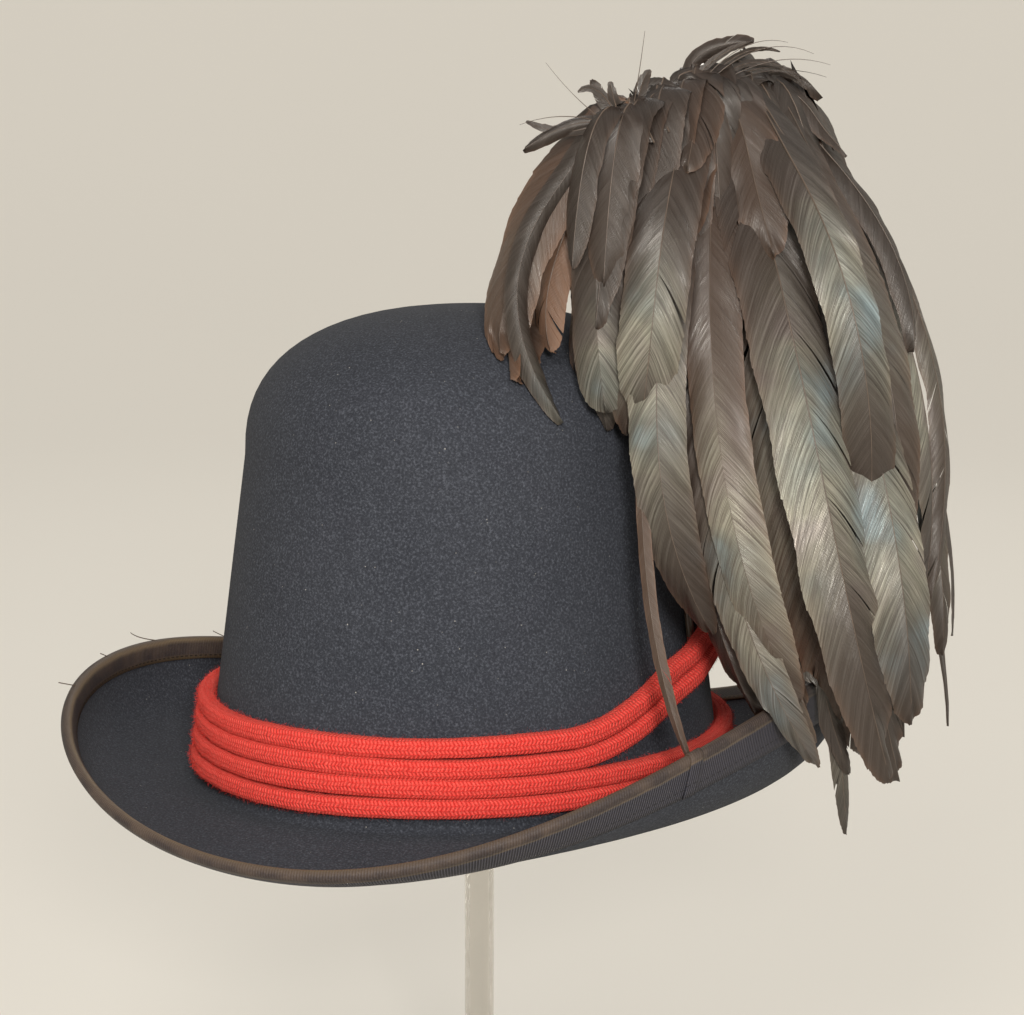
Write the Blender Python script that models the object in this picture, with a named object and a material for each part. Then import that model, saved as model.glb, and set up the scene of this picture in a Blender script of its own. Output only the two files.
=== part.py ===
# A plumed felt hat on a clear stand. Metres, +Z up. The hat's front faces -Y, the wearer's left is +X.
# The origin is on the floor at the centre of the stand's foot. Around the hat, the turn angle runs from
# the front (0 degrees) over the wearer's left (90) to the back (180).
import math

import bmesh
import bpy
from mathutils import Vector

# Stand
BASE_RADIUS = 0.080
BASE_THICKNESS = 0.008
BASE_CHAMFER = 0.0012
POST_RADIUS = 0.005
CAP_RADIUS = 0.030
CAP_THICKNESS = 0.007
HAT_LIFT = 0.150          # floor to the plane where crown and brim meet
HAT_OFFSET = -0.005       # the hat's axis from the post's, along X

# Felt cap
FELT = 0.0022             # felt thickness
CEILING_SHARE = 1.15      # depth of the inside's lowest facets under the crown's top, share of FELT
CROWN_HALF_WIDTH = 0.0845
CROWN_HALF_LENGTH = 0.0996
CROWN_HEIGHT = 0.156
CROWN_TAPER = 0.77        # width share that the straight wall would reach at full height
SHOULDER_HEIGHT = 0.048   # height of the rounded top edge
SHOULDER_POWER = 2.46     # roundness of the top edge, 2 is an ellipse
FILLET = 0.003            # round between crown and brim
BRIM_HALF_LENGTH = 0.145
BRIM_RIGHT = 0.1295       # brim edge from the axis, wearer's right
BRIM_LEFT = 0.1243        # the same, wearer's left
BRIM_FRONT_DROP = 0.002   # the edge under the junction plane, front and back
BRIM_ROLL_RISE = 0.031    # rise of the rolled edge at the sides
BRIM_LEFT_RISE = 0.010    # further rise on the wearer's left
BRIM_BULGE = 0.0018       # room for the rolled side, which swells past its edge
# The brim's section is a cubic curve. Its angles are over level at the crown and at the edge, its pulls are
# shares of the brim's width, and the first value of each pair holds in front, the second at the sides.
BRIM_START_DEGREES = (-9.0, 7.0)
BRIM_END_DEGREES = (34.0, 94.0)
BRIM_START_PULL_SHARES = (0.40, 0.62)
BRIM_END_PULL_SHARE = 0.34
BRIM_ROLL_PULL_SHARE = 0.30   # further pull, share of the edge's height
BRIM_SIDE_PULL_SHARE = 0.10   # how much stronger the end pull is at the sides

# Ribbon folded over the brim's edge
RIBBON = 0.0006
RIBBON_TOP = 0.0062       # width on the brim's upper face
RIBBON_OUTSIDE = 0.012    # width on the outer face

# Cord
CORD_RADIUS = 0.0030
CORD_FOOT = 0.0082        # height of the lowest turn's centre
CORD_RISE = 0.0253        # how far the upper two turns rise on the wearer's left
CORD_RISE_DEGREES = (46.0, 102.0, 150.0)   # turn angles where the rise starts, is highest and ends
GAP = 0.0003              # clearance between neighbouring pieces

# Plume
STEM_HALF_WIDTH = 0.0022
STEM_THICKNESS = 0.0024
STEM_FOOT = 0.046         # height of the stem's lower end, behind the raised cord
STEM_BOW = 0.0034         # how far the stem's free upper part bows outward
PLUME_TURN_DEGREES = 22.0   # from the front, where the plume's broad side faces
PLUME_SPREAD = 0.085      # reach to each side of the stem
PLUME_DEPTH = 0.060       # reach towards the front
PLUME_HEIGHT = 0.240      # top of the feathers' roots over the junction plane
HEAD_RADIUS = 0.0070      # bound roots along the top
HEAD_END_SHARE = 0.12     # section at the head's ends, share of its middle's
STEM_TOP_SHARE = 0.35     # where the stem meets the head, share along it from behind
FEATHER_WIDTH = 0.020
FEATHER_THICKNESS = 0.0022
FEATHER_CLEARANCE = 0.0016
VANE_FULL_SHARE = 0.30    # share of a feather's length where it reaches its full width
VANE_TIP_SHARE = 0.80     # share where its tip starts to round off
VANE_LEAST_SHARE = 0.16   # smallest width, share of the full width
VANE_POWER = 0.8          # how soon it widens from its root, 1 is evenly
FACING_SHARE = 0.6        # how far a feather's broad side turns to where it hangs
FACING_BEHIND_SHARE = 0.2   # place that the broad sides turn about, behind the stem, share of PLUME_DEPTH

# Divisions
AROUND = 56               # round the hat, a multiple of 8
SHOULDER_ROWS = 7
WALL_ROWS = 1
BRIM_ROWS = 3
CORD_SIDES = 6
STEM_ROWS = 4
CAP_ROWS = 4
ROUND_SIDES = 32
HEAD_ROWS = 8
HEAD_SIDES = 8
CURVE_STEPS = 40

# Places along a feather's spine where its section is set, closer together at the round tip
SPINE_SHARES = (0.0, 0.10, 0.24, 0.40, 0.56, 0.72, 0.86, 0.94, 0.985, 1.0)

# Feathers. root: share along the head, 0 behind and 1 at the knot. Each pair of places is across (to the
# right of the plume's broad side, share of PLUME_SPREAD), forward (share of PLUME_DEPTH) and height (share
# of PLUME_HEIGHT): first a point that the feather bends over, then its tip. width is a share of
# FEATHER_WIDTH, bend is the share of the length at the first point.
FEATHERS = (
    # name, root, bend point (across, forward, height), tip (across, forward, height), width, bend
    ("left_curl", 1.00, (-0.66, 0.44, 0.787), (-0.8, 0.47, 0.608), 0.90, 0.48),
    ("left_dark", 1.00, (-0.72, 0.57, 0.71), (-0.57, 0.67, 0.521), 0.50, 0.50),
    ("left_inner", 0.98, (-0.57, 0.41, 0.753), (-0.6, 0.54, 0.609), 0.65, 0.45),
    ("left_round", 0.96, (-0.44, 0.64, 0.724), (-0.41, 0.71, 0.534), 0.95, 0.50),
    ("left_edge", 0.88, (-0.28, 0.51, 0.774), (-0.31, 0.64, 0.552), 0.80, 0.45),
    ("upper_left", 0.80, (-0.24, 0.41, 0.805), (-0.18, 0.57, 0.632), 0.95, 0.45),
    ("upper_mid", 0.62, (-0.2, 0.74, 0.764), (-0.29, 0.82, 0.526), 1.05, 0.45),
    ("thin_front", 0.70, (-0.27, 0.97, 0.352), (-0.11, 1.17, 0.099), 0.22, 0.62),
    ("front_first", 0.56, (-0.24, 0.87, 0.562), (0.0, 0.91, 0.25), 0.95, 0.50),
    ("front_second", 0.52, (-0.1, 0.77, 0.449), (0.15, 0.79, 0.143), 0.80, 0.55),
    ("front_third", 0.48, (-0.03, 0.91, 0.453), (0.37, 1.06, 0.084), 0.75, 0.52),
    ("front_brown", 0.46, (-0.02, 0.97, 0.532), (0.3, 1.01, 0.165), 0.95, 0.48),
    ("centre_large", 0.40, (0.27, 0.81, 0.599), (0.68, 0.69, 0.044), 1.45, 0.42),
    ("centre_upper", 0.34, (0.41, 0.64, 0.756), (0.56, 0.57, 0.336), 0.95, 0.38),
    ("centre_low", 0.40, (0.32, 0.57, 0.283), (0.52, 0.57, 0.047), 0.55, 0.68),
    ("centre_hanging", 0.38, (0.44, 0.57, 0.229), (0.53, 0.47, -0.041), 0.36, 0.70),
    ("right_large", 0.26, (0.56, 0.37, 0.687), (0.65, 0.44, 0.277), 0.95, 0.40),
    ("right_round", 0.28, (0.59, 0.67, 0.485), (0.73, 0.74, 0.125), 1.15, 0.55),
    ("right_outer", 0.16, (0.67, -0.13, 0.759), (0.79, -0.09, 0.595), 0.55, 0.52),
    ("right_middle", 0.12, (0.77, -0.23, 0.622), (0.85, -0.13, 0.239), 0.72, 0.46),
    ("right_tail", 0.08, (0.84, -0.46, 0.478), (0.96, -0.46, 0.16), 0.50, 0.55),
    ("right_wisp", 0.06, (0.91, -0.63, 0.289), (1.01, -0.66, 0.047), 0.20, 0.65),
    ("back_first", 0.10, (0.67, -1.03, 0.748), (0.79, -0.99, 0.362), 1.00, 0.45),
    ("back_second", 0.04, (0.45, -1.39, 0.787), (0.56, -1.46, 0.449), 1.00, 0.45),
    ("back_third", 0.30, (0.62, -0.33, 0.565), (0.76, -0.26, 0.155), 1.10, 0.50),
    ("back_fourth", 0.60, (0.04, -1.03, 0.804), (0.08, -1.23, 0.558), 0.90, 0.45),
    ("side_first", 0.46, (0.19, 0.17, 0.736), (0.31, 0.27, 0.284), 1.30, 0.48),
    ("side_second", 0.36, (0.41, -0.26, 0.744), (0.56, -0.16, 0.195), 1.40, 0.48),
    ("side_third", 0.22, (0.54, -0.69, 0.745), (0.69, -0.66, 0.216), 1.30, 0.48),
    ("side_fourth", 0.13, (0.47, -1.09, 0.754), (0.61, -1.13, 0.298), 1.20, 0.48),
    ("tuft_knot", 1.00, (-0.52, 0.47, 0.903), (-0.71, 0.51, 0.87), 0.22, 0.50),
    ("tuft_curl", 0.97, (-0.42, 0.44, 0.936), (-0.47, 0.44, 0.959), 0.20, 0.50),
    ("tuft_top", 0.62, (-0.05, 0.04, 0.988), (0.14, 0.07, 1.009), 0.26, 0.45),
    ("tuft_back", 0.30, (0.3, -0.36, 0.967), (0.45, -0.43, 0.935), 0.26, 0.50),
)
# The head's course: back end, top and knot, as across, forward and height shares
HEAD = ((0.34, -0.49, 0.921), (0.01, -0.03, 0.946), (-0.37, 0.42, 0.898))


def clear_scene():
    for thing in list(bpy.data.objects):
        bpy.data.objects.remove(thing, do_unlink=True)


def principled(name, colour, roughness, metallic=0.0, transmission=0.0):
    material = bpy.data.materials.new(name)
    material.use_nodes = True
    shader = material.node_tree.nodes["Principled BSDF"]
    shader.inputs["Base Color"].default_value = (*colour, 1.0)
    shader.inputs["Roughness"].default_value = roughness
    shader.inputs["Metallic"].default_value = metallic
    shader.inputs["Transmission Weight"].default_value = transmission
    return material


def shade(mesh):
    mesh.shade_smooth()
    mesh.set_sharp_from_angle(angle=math.radians(50))


def add_object(name, mesh, material):
    mesh.materials.append(material)
    shade(mesh)
    thing = bpy.data.objects.new(name, mesh)
    bpy.context.collection.objects.link(thing)
    return thing


def mesh_from(name, points, faces):
    mesh = bpy.data.meshes.new(name)
    mesh.from_pydata([tuple(p) for p in points], [], faces)
    bm = bmesh.new()
    bm.from_mesh(mesh)
    bmesh.ops.recalc_face_normals(bm, faces=bm.faces)
    bm.to_mesh(mesh)
    bm.free()
    return mesh


def loop_mesh(name, sections, turned_sides=()):
    """A closed tube: sections all have the same number of points, the last joins the first.

    turned_sides are the sides whose quads are split along their other diagonal."""
    count = len(sections)
    sides = len(sections[0])
    points = [p for section in sections for p in section]
    faces = []
    for i in range(count):
        for j in range(sides):
            a, b = i * sides, (i + 1) % count * sides
            k = (j + 1) % sides
            if j in turned_sides:
                faces += [(a + j, b + j, a + k), (b + j, b + k, a + k)]
            else:
                faces += [(a + j, b + j, b + k), (a + j, b + k, a + k)]
    return mesh_from(name, points, faces)


def turned_mesh(name, profile, sides=ROUND_SIDES):
    """A solid turned about Z from (radius, height) pairs that run from the lower to the upper centre."""
    points = [(0.0, 0.0, profile[0][1])]
    inner = profile[1:-1]
    for radius, height in inner:
        for i in range(sides):
            angle = 2 * math.pi * i / sides
            points.append((radius * math.cos(angle), radius * math.sin(angle), height))
    points.append((0.0, 0.0, profile[-1][1]))
    faces = [(0, 1 + (i + 1) % sides, 1 + i) for i in range(sides)]
    for j in range(len(inner) - 1):
        for i in range(sides):
            a, b = 1 + j * sides, 1 + (j + 1) * sides
            k = (i + 1) % sides
            faces.append((a + i, a + k, b + k, b + i))
    last = 1 + (len(inner) - 1) * sides
    faces += [(last + i, last + (i + 1) % sides, len(points) - 1) for i in range(sides)]
    return mesh_from(name, points, faces)


def smooth_step(value):
    value = min(max(value, 0.0), 1.0)
    return value * value * (3.0 - 2.0 * value)


def mix(first, second, share):
    return first + (second - first) * share


# Form of the crown and the brim

def crown_share(height):
    """Width of the crown at a height over the junction plane, as a share of its width at the foot."""
    start = CROWN_HEIGHT - SHOULDER_HEIGHT
    straight = 1.0 + (CROWN_TAPER - 1.0) * min(height, start) / CROWN_HEIGHT
    rise = min(max((height - start) / SHOULDER_HEIGHT, 0.0), 1.0)
    return straight * (1.0 - rise ** SHOULDER_POWER) ** (1.0 / SHOULDER_POWER)


def crown_ceiling(distance):
    """Height of the crown's outside at a distance from its axis, along its short side."""
    start = CROWN_HEIGHT - SHOULDER_HEIGHT
    share = min(distance / (CROWN_HALF_WIDTH * crown_share(start)), 1.0)
    return start + SHOULDER_HEIGHT * (1.0 - share ** SHOULDER_POWER) ** (1.0 / SHOULDER_POWER)


def crown_outward(turn):
    """The level direction square to the crown's wall."""
    return Vector((math.sin(turn) / CROWN_HALF_WIDTH, -math.cos(turn) / CROWN_HALF_LENGTH, 0.0)).normalized()


def crown_point(turn, height, offset=0.0):
    share = crown_share(max(height, 0.0))
    across, along = CROWN_HALF_WIDTH * share, CROWN_HALF_LENGTH * share
    on_wall = Vector((across * math.sin(turn), -along * math.cos(turn), height))
    return on_wall + crown_outward(turn) * offset


def brim_edge(turn):
    side = math.sin(turn) ** 2
    left = 1.0 if math.sin(turn) > 0.0 else 0.0
    half = BRIM_LEFT if left else BRIM_RIGHT
    height = -BRIM_FRONT_DROP + BRIM_ROLL_RISE * side + BRIM_LEFT_RISE * left * side
    return Vector((half * math.sin(turn), -BRIM_HALF_LENGTH * math.cos(turn), height))


def brim_section(turn):
    """The brim's upper face as (outward, height) points with even steps, from the fillet to the edge."""
    foot = crown_point(turn, 0.0)
    edge = brim_edge(turn)
    reach = math.hypot(edge.x - foot.x, edge.y - foot.y)
    side = math.sin(turn) ** 2
    start_angle = math.radians(mix(*BRIM_START_DEGREES, side))
    end_angle = math.radians(mix(*BRIM_END_DEGREES, side))
    width = reach - FILLET
    first = (FILLET, 0.0)
    last = (reach, edge.z)
    start_pull = width * mix(*BRIM_START_PULL_SHARES, side)
    end_pull = width * BRIM_END_PULL_SHARE + abs(edge.z) * BRIM_ROLL_PULL_SHARE
    end_pull *= 1.0 + side * BRIM_SIDE_PULL_SHARE
    second = (first[0] + start_pull * math.cos(start_angle), first[1] + start_pull * math.sin(start_angle))
    third = (last[0] - end_pull * math.cos(end_angle), last[1] - end_pull * math.sin(end_angle))
    points = []
    for i in range(CURVE_STEPS + 1):
        s = i / CURVE_STEPS
        weights = ((1 - s) ** 3, 3 * s * (1 - s) ** 2, 3 * s * s * (1 - s), s ** 3)
        corners = (first, second, third, last)
        points.append(tuple(sum(w * c[axis] for w, c in zip(weights, corners)) for axis in (0, 1)))
    return points


def at_distance(points, from_end):
    """The point that lies a given length before the end of a line of (outward, height) points."""
    left = from_end
    for near, far in zip(points[-2::-1], points[::-1]):
        step = math.dist(near, far)
        if left <= step:
            share = left / step
            return tuple(f + (n - f) * share for n, f in zip(near, far))
        left -= step
    return points[0]


def line_length(points):
    return sum(math.dist(a, b) for a, b in zip(points, points[1:]))


def felt_section(turn):
    """The felt's outer face as (outward from the crown's foot, height) points, from the shoulder down."""
    foot = crown_point(turn, 0.0)
    foot_distance = math.hypot(foot.x, foot.y)
    points = []
    start = CROWN_HEIGHT - SHOULDER_HEIGHT
    for i in range(1, SHOULDER_ROWS + 1):
        angle = math.pi / 2 * i / SHOULDER_ROWS
        height = start + SHOULDER_HEIGHT * max(math.cos(angle), 0.0) ** (2.0 / SHOULDER_POWER)
        share = crown_share(start) * math.sin(angle) ** (2.0 / SHOULDER_POWER)
        points.append((foot_distance * (share - 1.0), height))
    for i in range(1, WALL_ROWS + 1):
        height = start + (FILLET - start) * i / WALL_ROWS
        points.append((foot_distance * (crown_share(height) - 1.0), height))
    points.append((FILLET * (1.0 - math.sqrt(0.5)), FILLET * (1.0 - math.sqrt(0.5))))
    curve = brim_section(turn)
    free = line_length(curve) - RIBBON_OUTSIDE
    for i in range(BRIM_ROWS + 1):
        points.append(at_distance(curve, RIBBON_OUTSIDE + free * (BRIM_ROWS - i) / BRIM_ROWS))
    points.append(at_distance(curve, RIBBON_TOP))
    points.append(curve[-1])
    return points


def section_offset(points, distances):
    """Points moved square to their line, to the right of its run, with one distance for each point."""
    moved = []
    for i, point in enumerate(points):
        before = points[max(i - 1, 0)]
        after = points[min(i + 1, len(points) - 1)]
        run = (after[0] - before[0], after[1] - before[1])
        size = math.hypot(*run)
        moved.append((point[0] + run[1] / size * distances[i], point[1] - run[0] / size * distances[i]))
    return moved


def place_section(turn, section):
    """Turn (outward, height) points into places round the hat."""
    foot = crown_point(turn, 0.0)
    edge = brim_edge(turn)
    run = Vector((edge.x - foot.x, edge.y - foot.y, 0.0)).normalized()
    foot_distance = math.hypot(foot.x, foot.y)
    placed = []
    for out, height in section:
        if out < 0.0:
            place = foot * ((foot_distance + out) / foot_distance)
        else:
            place = foot + run * out
        placed.append(Vector((place.x, place.y, height)) + hat_origin())
    return placed


def hat_origin():
    return Vector((HAT_OFFSET, 0.0, HAT_LIFT))


def turns():
    return [2 * math.pi * i / AROUND for i in range(AROUND)]


def make_felt(material):
    outer, inner = [], []
    for turn in turns():
        section = felt_section(turn)
        outer.append(place_section(turn, section))
        inner.append(place_section(turn, section_offset(section, [FELT] * len(section))))
    rows = len(outer[0])
    points = [hat_origin() + Vector((0.0, 0.0, CROWN_HEIGHT))]
    points.append(hat_origin() + Vector((0.0, 0.0, CROWN_HEIGHT - FELT)))
    for one in outer + inner:
        points += one
    shift = AROUND * rows
    faces = []
    for i in range(AROUND):
        a, b = 2 + i * rows, 2 + (i + 1) % AROUND * rows
        faces.append((0, a, b))
        faces.append((1, b + shift, a + shift))
        for j in range(rows - 1):
            k = j + shift
            faces += [(a + j, a + j + 1, b + j + 1), (a + j, b + j + 1, b + j)]
            faces += [(a + k, b + k + 1, a + k + 1), (a + k, b + k, b + k + 1)]
        end = rows - 1
        faces.append((a + end, a + shift + end, b + shift + end, b + end))
    return add_object("felt_body", mesh_from("felt_body", points, faces), material)


def make_binding(material):
    sections = []
    for turn in turns():
        felt = felt_section(turn)
        upper = felt[-2:]
        under = section_offset(felt, [FELT] * len(felt))[-3:]
        run = (felt[-1][0] - felt[-2][0], felt[-1][1] - felt[-2][1])
        size = math.hypot(*run)
        along = (run[0] / size, run[1] / size)
        square = (along[1], -along[0])

        def near_edge(point, forward, sideways):
            return (point[0] + along[0] * forward + square[0] * sideways,
                    point[1] + along[1] * forward + square[1] * sideways)

        inside, outside = [], []
        for skin, layer in ((inside, GAP), (outside, GAP + RIBBON)):
            skin.append(near_edge(upper[0], 0.0, -layer))
            skin.append(near_edge(upper[1], layer, -layer))
            skin.append(near_edge(under[2], layer, layer))
            lower = section_offset(felt, [FELT + layer] * len(felt))
            skin += [lower[-2], lower[-3]]
        sections.append(place_section(turn, inside + outside[::-1]))
    # The split follows the felt's, whose rows run towards the edge
    away_from_edge = (2, 3, 8)
    return add_object("brim_binding", loop_mesh("brim_binding", sections, away_from_edge), material)


def cord_rise(turn):
    """How far the upper two turns of the cord stand above their level course."""
    degrees = math.degrees(turn)
    start, top, end = CORD_RISE_DEGREES
    upward = smooth_step((degrees - start) / (top - start))
    downward = smooth_step((end - degrees) / (end - top))
    return CORD_RISE * upward * downward


def cord_centre(turn, number):
    """Centre of one turn of the cord: 0 and 1 lie level, 2 and 3 rise on the wearer's left."""
    pitch = 2 * CORD_RADIUS + GAP
    height = CORD_FOOT + number * pitch
    outward = CORD_RADIUS + GAP
    if number >= 2:
        step = 2 * math.pi / AROUND
        run = (crown_point(turn + step, 0.0) - crown_point(turn - step, 0.0)).length
        slope = (cord_rise(turn + step) - cord_rise(turn - step)) / run
        height += cord_rise(turn) + (number - 2) * pitch * (math.sqrt(1.0 + slope ** 2) - 1.0)
        # The turns stand out over the stem, one division to each side of it
        if abs(turn - math.pi / 2) < 1.5 * step:
            outward += STEM_THICKNESS + GAP
    return crown_point(turn, height, outward) + hat_origin()


def make_cord(number, material):
    centres = [cord_centre(turn, number) for turn in turns()]
    sections = []
    for i, centre in enumerate(centres):
        run = (centres[(i + 1) % AROUND] - centres[i - 1]).normalized()
        up = run.cross(crown_outward(turns()[i])).normalized()
        out = up.cross(run).normalized()
        ring = []
        for j in range(CORD_SIDES):
            angle = 2 * math.pi * j / CORD_SIDES
            ring.append(centre + (up * math.cos(angle) + out * math.sin(angle)) * CORD_RADIUS)
        sections.append(ring)
    name = f"cord_turn_{number + 1}"
    return add_object(name, loop_mesh(name, sections), material)


# Plume

def plume_axes():
    turn = math.radians(PLUME_TURN_DEGREES)
    across = Vector((math.cos(turn), math.sin(turn), 0.0))
    forward = Vector((math.sin(turn), -math.cos(turn), 0.0))
    return across, forward


def plume_place(shares):
    across, forward = plume_axes()
    foot = hat_origin() + Vector((CROWN_HALF_WIDTH, 0.0, 0.0))
    place = foot + across * (shares[0] * PLUME_SPREAD) + forward * (shares[1] * PLUME_DEPTH)
    place.z += shares[2] * PLUME_HEIGHT
    return place


def quadratic(first, middle, last, share, bend=0.5):
    """A point on the curve that runs through all three places and meets the middle one at bend."""
    pull = (middle - first * (1 - bend) ** 2 - last * bend ** 2) / (2 * bend * (1 - bend))
    return first * (1 - share) ** 2 + pull * (2 * share * (1 - share)) + last * share ** 2


def head_place(share):
    return quadratic(*[plume_place(shares) for shares in HEAD], share)


def off_the_hat(place, clearance):
    """Move a place outward until it clears the crown and the cord, or the brim's edge it hangs past."""
    local = place - hat_origin()
    cord_top = CORD_FOOT + 7 * CORD_RADIUS + CORD_RISE
    over_cord = 2 * CORD_RADIUS + STEM_THICKNESS + 2 * GAP
    # Full room for the cord up to 0.8 of its height, none from 1.8 times its height
    extra = clearance + over_cord * smooth_step(1.8 - (local.z - clearance) / cord_top)
    share = crown_share(max(local.z - clearance, 0.0))
    if local.z < CROWN_HEIGHT + clearance:
        half_width = CROWN_HALF_WIDTH * share + extra
        half_length = CROWN_HALF_LENGTH * share + extra
        reach = math.hypot(local.x / half_width, local.y / half_length)
        if reach < 1.0:
            local.x /= reach
            local.y /= reach
    turn = math.atan2(local.x / BRIM_LEFT, -local.y / BRIM_HALF_LENGTH)
    edge = brim_edge(turn)
    edge_reach = math.hypot(edge.x, edge.y)
    reach = math.hypot(local.x, local.y)
    layer = GAP + RIBBON + FELT + clearance
    outside = edge_reach + layer + BRIM_BULGE
    if local.z < edge.z + layer and edge_reach - 2 * FELT < reach < outside:
        local.x *= outside / reach
        local.y *= outside / reach
    return local + hat_origin()


def vane_share(share):
    """Half-width of a feather along its length, 1 at its widest."""
    rise = min(1.0, share / VANE_FULL_SHARE) ** VANE_POWER
    along_tip = max(0.0, share - VANE_TIP_SHARE) / (1.0 - VANE_TIP_SHARE)
    return max(VANE_LEAST_SHARE, rise * math.sqrt(max(0.0, 1.0 - along_tip ** 2)))


def blade_mesh(name, spine, facing, width):
    """A closed blade with a lens section along a spine, its broad side towards facing."""
    points, faces = [], []
    count = len(spine)
    for i, place in enumerate(spine):
        run = (spine[min(i + 1, count - 1)] - spine[max(i - 1, 0)]).normalized()
        side = run.cross(facing).normalized()
        top = side.cross(run).normalized()
        share = SPINE_SHARES[i]
        half = 0.5 * width * vane_share(share)
        lift = 0.5 * FEATHER_THICKNESS * (1.0 - 0.5 * share)
        points += [place - side * half, place + top * lift, place + side * half, place - top * lift]
    for i in range(count - 1):
        for j in range(4):
            a, b = 4 * i, 4 * (i + 1)
            k = (j + 1) % 4
            faces.append((a + j, a + k, b + k, b + j))
    last = 4 * (count - 1)
    faces += [(3, 2, 1, 0), (last, last + 1, last + 2, last + 3)]
    return mesh_from(name, points, faces)


def feather_spine(row):
    root, bend_point, tip = row[1:4]
    bend = row[5]
    first, middle, last = head_place(root), plume_place(bend_point), plume_place(tip)
    clearance = FEATHER_CLEARANCE + 0.5 * FEATHER_THICKNESS
    return [off_the_hat(quadratic(first, middle, last, share, bend), clearance) for share in SPINE_SHARES]


def feather_facing(row):
    """The broad side's direction: forward, turned part of the way to where the feather hangs."""
    across, forward = plume_axes()
    sideways, ahead = row[2][:2]
    angle = FACING_SHARE * math.atan2(sideways * PLUME_SPREAD, (ahead + FACING_BEHIND_SHARE) * PLUME_DEPTH)
    return across * math.sin(angle) + forward * math.cos(angle)


def make_head(material):
    """The bound roots along the top of the plume, a closed swept bar with round ends."""
    points, faces = [], []
    for i in range(HEAD_ROWS + 1):
        share = i / HEAD_ROWS
        centre = head_place(share)
        run = (head_place(min(share + 0.05, 1.0)) - head_place(max(share - 0.05, 0.0))).normalized()
        side = run.cross(Vector((0.0, 0.0, 1.0))).normalized()
        top = side.cross(run)
        radius = HEAD_RADIUS * math.sqrt(max(HEAD_END_SHARE, 1.0 - (2.0 * share - 1.0) ** 4))
        for j in range(HEAD_SIDES):
            angle = math.tau * j / HEAD_SIDES
            points.append(centre + (side * math.cos(angle) + top * math.sin(angle)) * radius)
    faces.append(tuple(range(HEAD_SIDES))[::-1])
    faces.append(tuple(HEAD_ROWS * HEAD_SIDES + j for j in range(HEAD_SIDES)))
    for i in range(HEAD_ROWS):
        for j in range(HEAD_SIDES):
            a, b, k = i * HEAD_SIDES, (i + 1) * HEAD_SIDES, (j + 1) % HEAD_SIDES
            faces.append((a + j, a + k, b + k, b + j))
    return add_object("plume", mesh_from("plume", points, faces), material)


def add_tool(name, mesh):
    tool = bpy.data.objects.new(name, mesh)
    tool.hide_render = True
    tool.display_type = "WIRE"
    bpy.context.collection.objects.link(tool)
    return tool


def make_plume(material):
    """Feathers and stem joined one by one to the bound roots, as one closed body."""
    head = make_head(material)
    tools = [add_tool("stem", stem_mesh())]
    for row in FEATHERS:
        blade = blade_mesh(row[0], feather_spine(row), feather_facing(row), row[4] * FEATHER_WIDTH)
        tools.append(add_tool(row[0], blade))
    for tool in tools:
        union = head.modifiers.new("union_" + tool.name, "BOOLEAN")
        union.operation = "UNION"
        # The manifold way of joining keeps the body closed where thin feathers cross at small angles
        union.solver = "MANIFOLD"
        union.object = tool
    apply_and_keep_largest(head)
    for tool in tools:
        bpy.data.objects.remove(tool, do_unlink=True)


def stem_mesh():
    """The plume's flat stem, from behind the raised cord up the crown's side to the head."""
    layer = GAP + 0.5 * STEM_THICKNESS
    top = head_place(STEM_TOP_SHARE)
    start = CROWN_HEIGHT - SHOULDER_HEIGHT
    places = []
    for i in range(STEM_ROWS + 1):
        height = mix(STEM_FOOT, start, i / STEM_ROWS)
        places.append(crown_point(math.pi / 2, height, layer) + hat_origin())
    first = places[-1]
    middle = first.lerp(top, 0.5) + Vector((STEM_BOW, 0.0, 0.0))
    places += [quadratic(first, middle, top, i / STEM_ROWS) for i in range(1, STEM_ROWS + 1)]
    points = []
    for i, place in enumerate(places):
        run = (places[min(i + 1, len(places) - 1)] - places[max(i - 1, 0)]).normalized()
        side = run.cross(Vector((1.0, 0.0, 0.0))).normalized() * STEM_HALF_WIDTH
        out = run.cross(side).normalized() * (0.5 * STEM_THICKNESS)
        if out.x < 0.0:
            out = -out
        points += [place - side - out, place + side - out, place + side + out, place - side + out]
    faces = [(3, 2, 1, 0), tuple(4 * (len(places) - 1) + j for j in range(4))]
    for i in range(len(places) - 1):
        for j in range(4):
            a, b, k = 4 * i, 4 * (i + 1), (j + 1) % 4
            faces.append((a + j, a + k, b + k, b + j))
    return mesh_from("stem", points, faces)


def apply_and_keep_largest(thing):
    """Bake the modifiers and keep the outer shell, without closed pockets between feathers."""
    graph = bpy.context.evaluated_depsgraph_get()
    baked = bpy.data.meshes.new_from_object(thing.evaluated_get(graph))
    thing.modifiers.clear()
    bm = bmesh.new()
    bm.from_mesh(baked)
    left = set(bm.verts)
    islands = []
    while left:
        queue = [left.pop()]
        island = set(queue)
        while queue:
            for edge in queue.pop().link_edges:
                for vert in edge.verts:
                    if vert in left:
                        left.discard(vert)
                        island.add(vert)
                        queue.append(vert)
        islands.append(island)
    islands.sort(key=len, reverse=True)
    for island in islands[1:]:
        bmesh.ops.delete(bm, geom=list(island), context="VERTS")
    bm.to_mesh(baked)
    bm.free()
    thing.data = baked
    shade(baked)


# Stand

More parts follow.
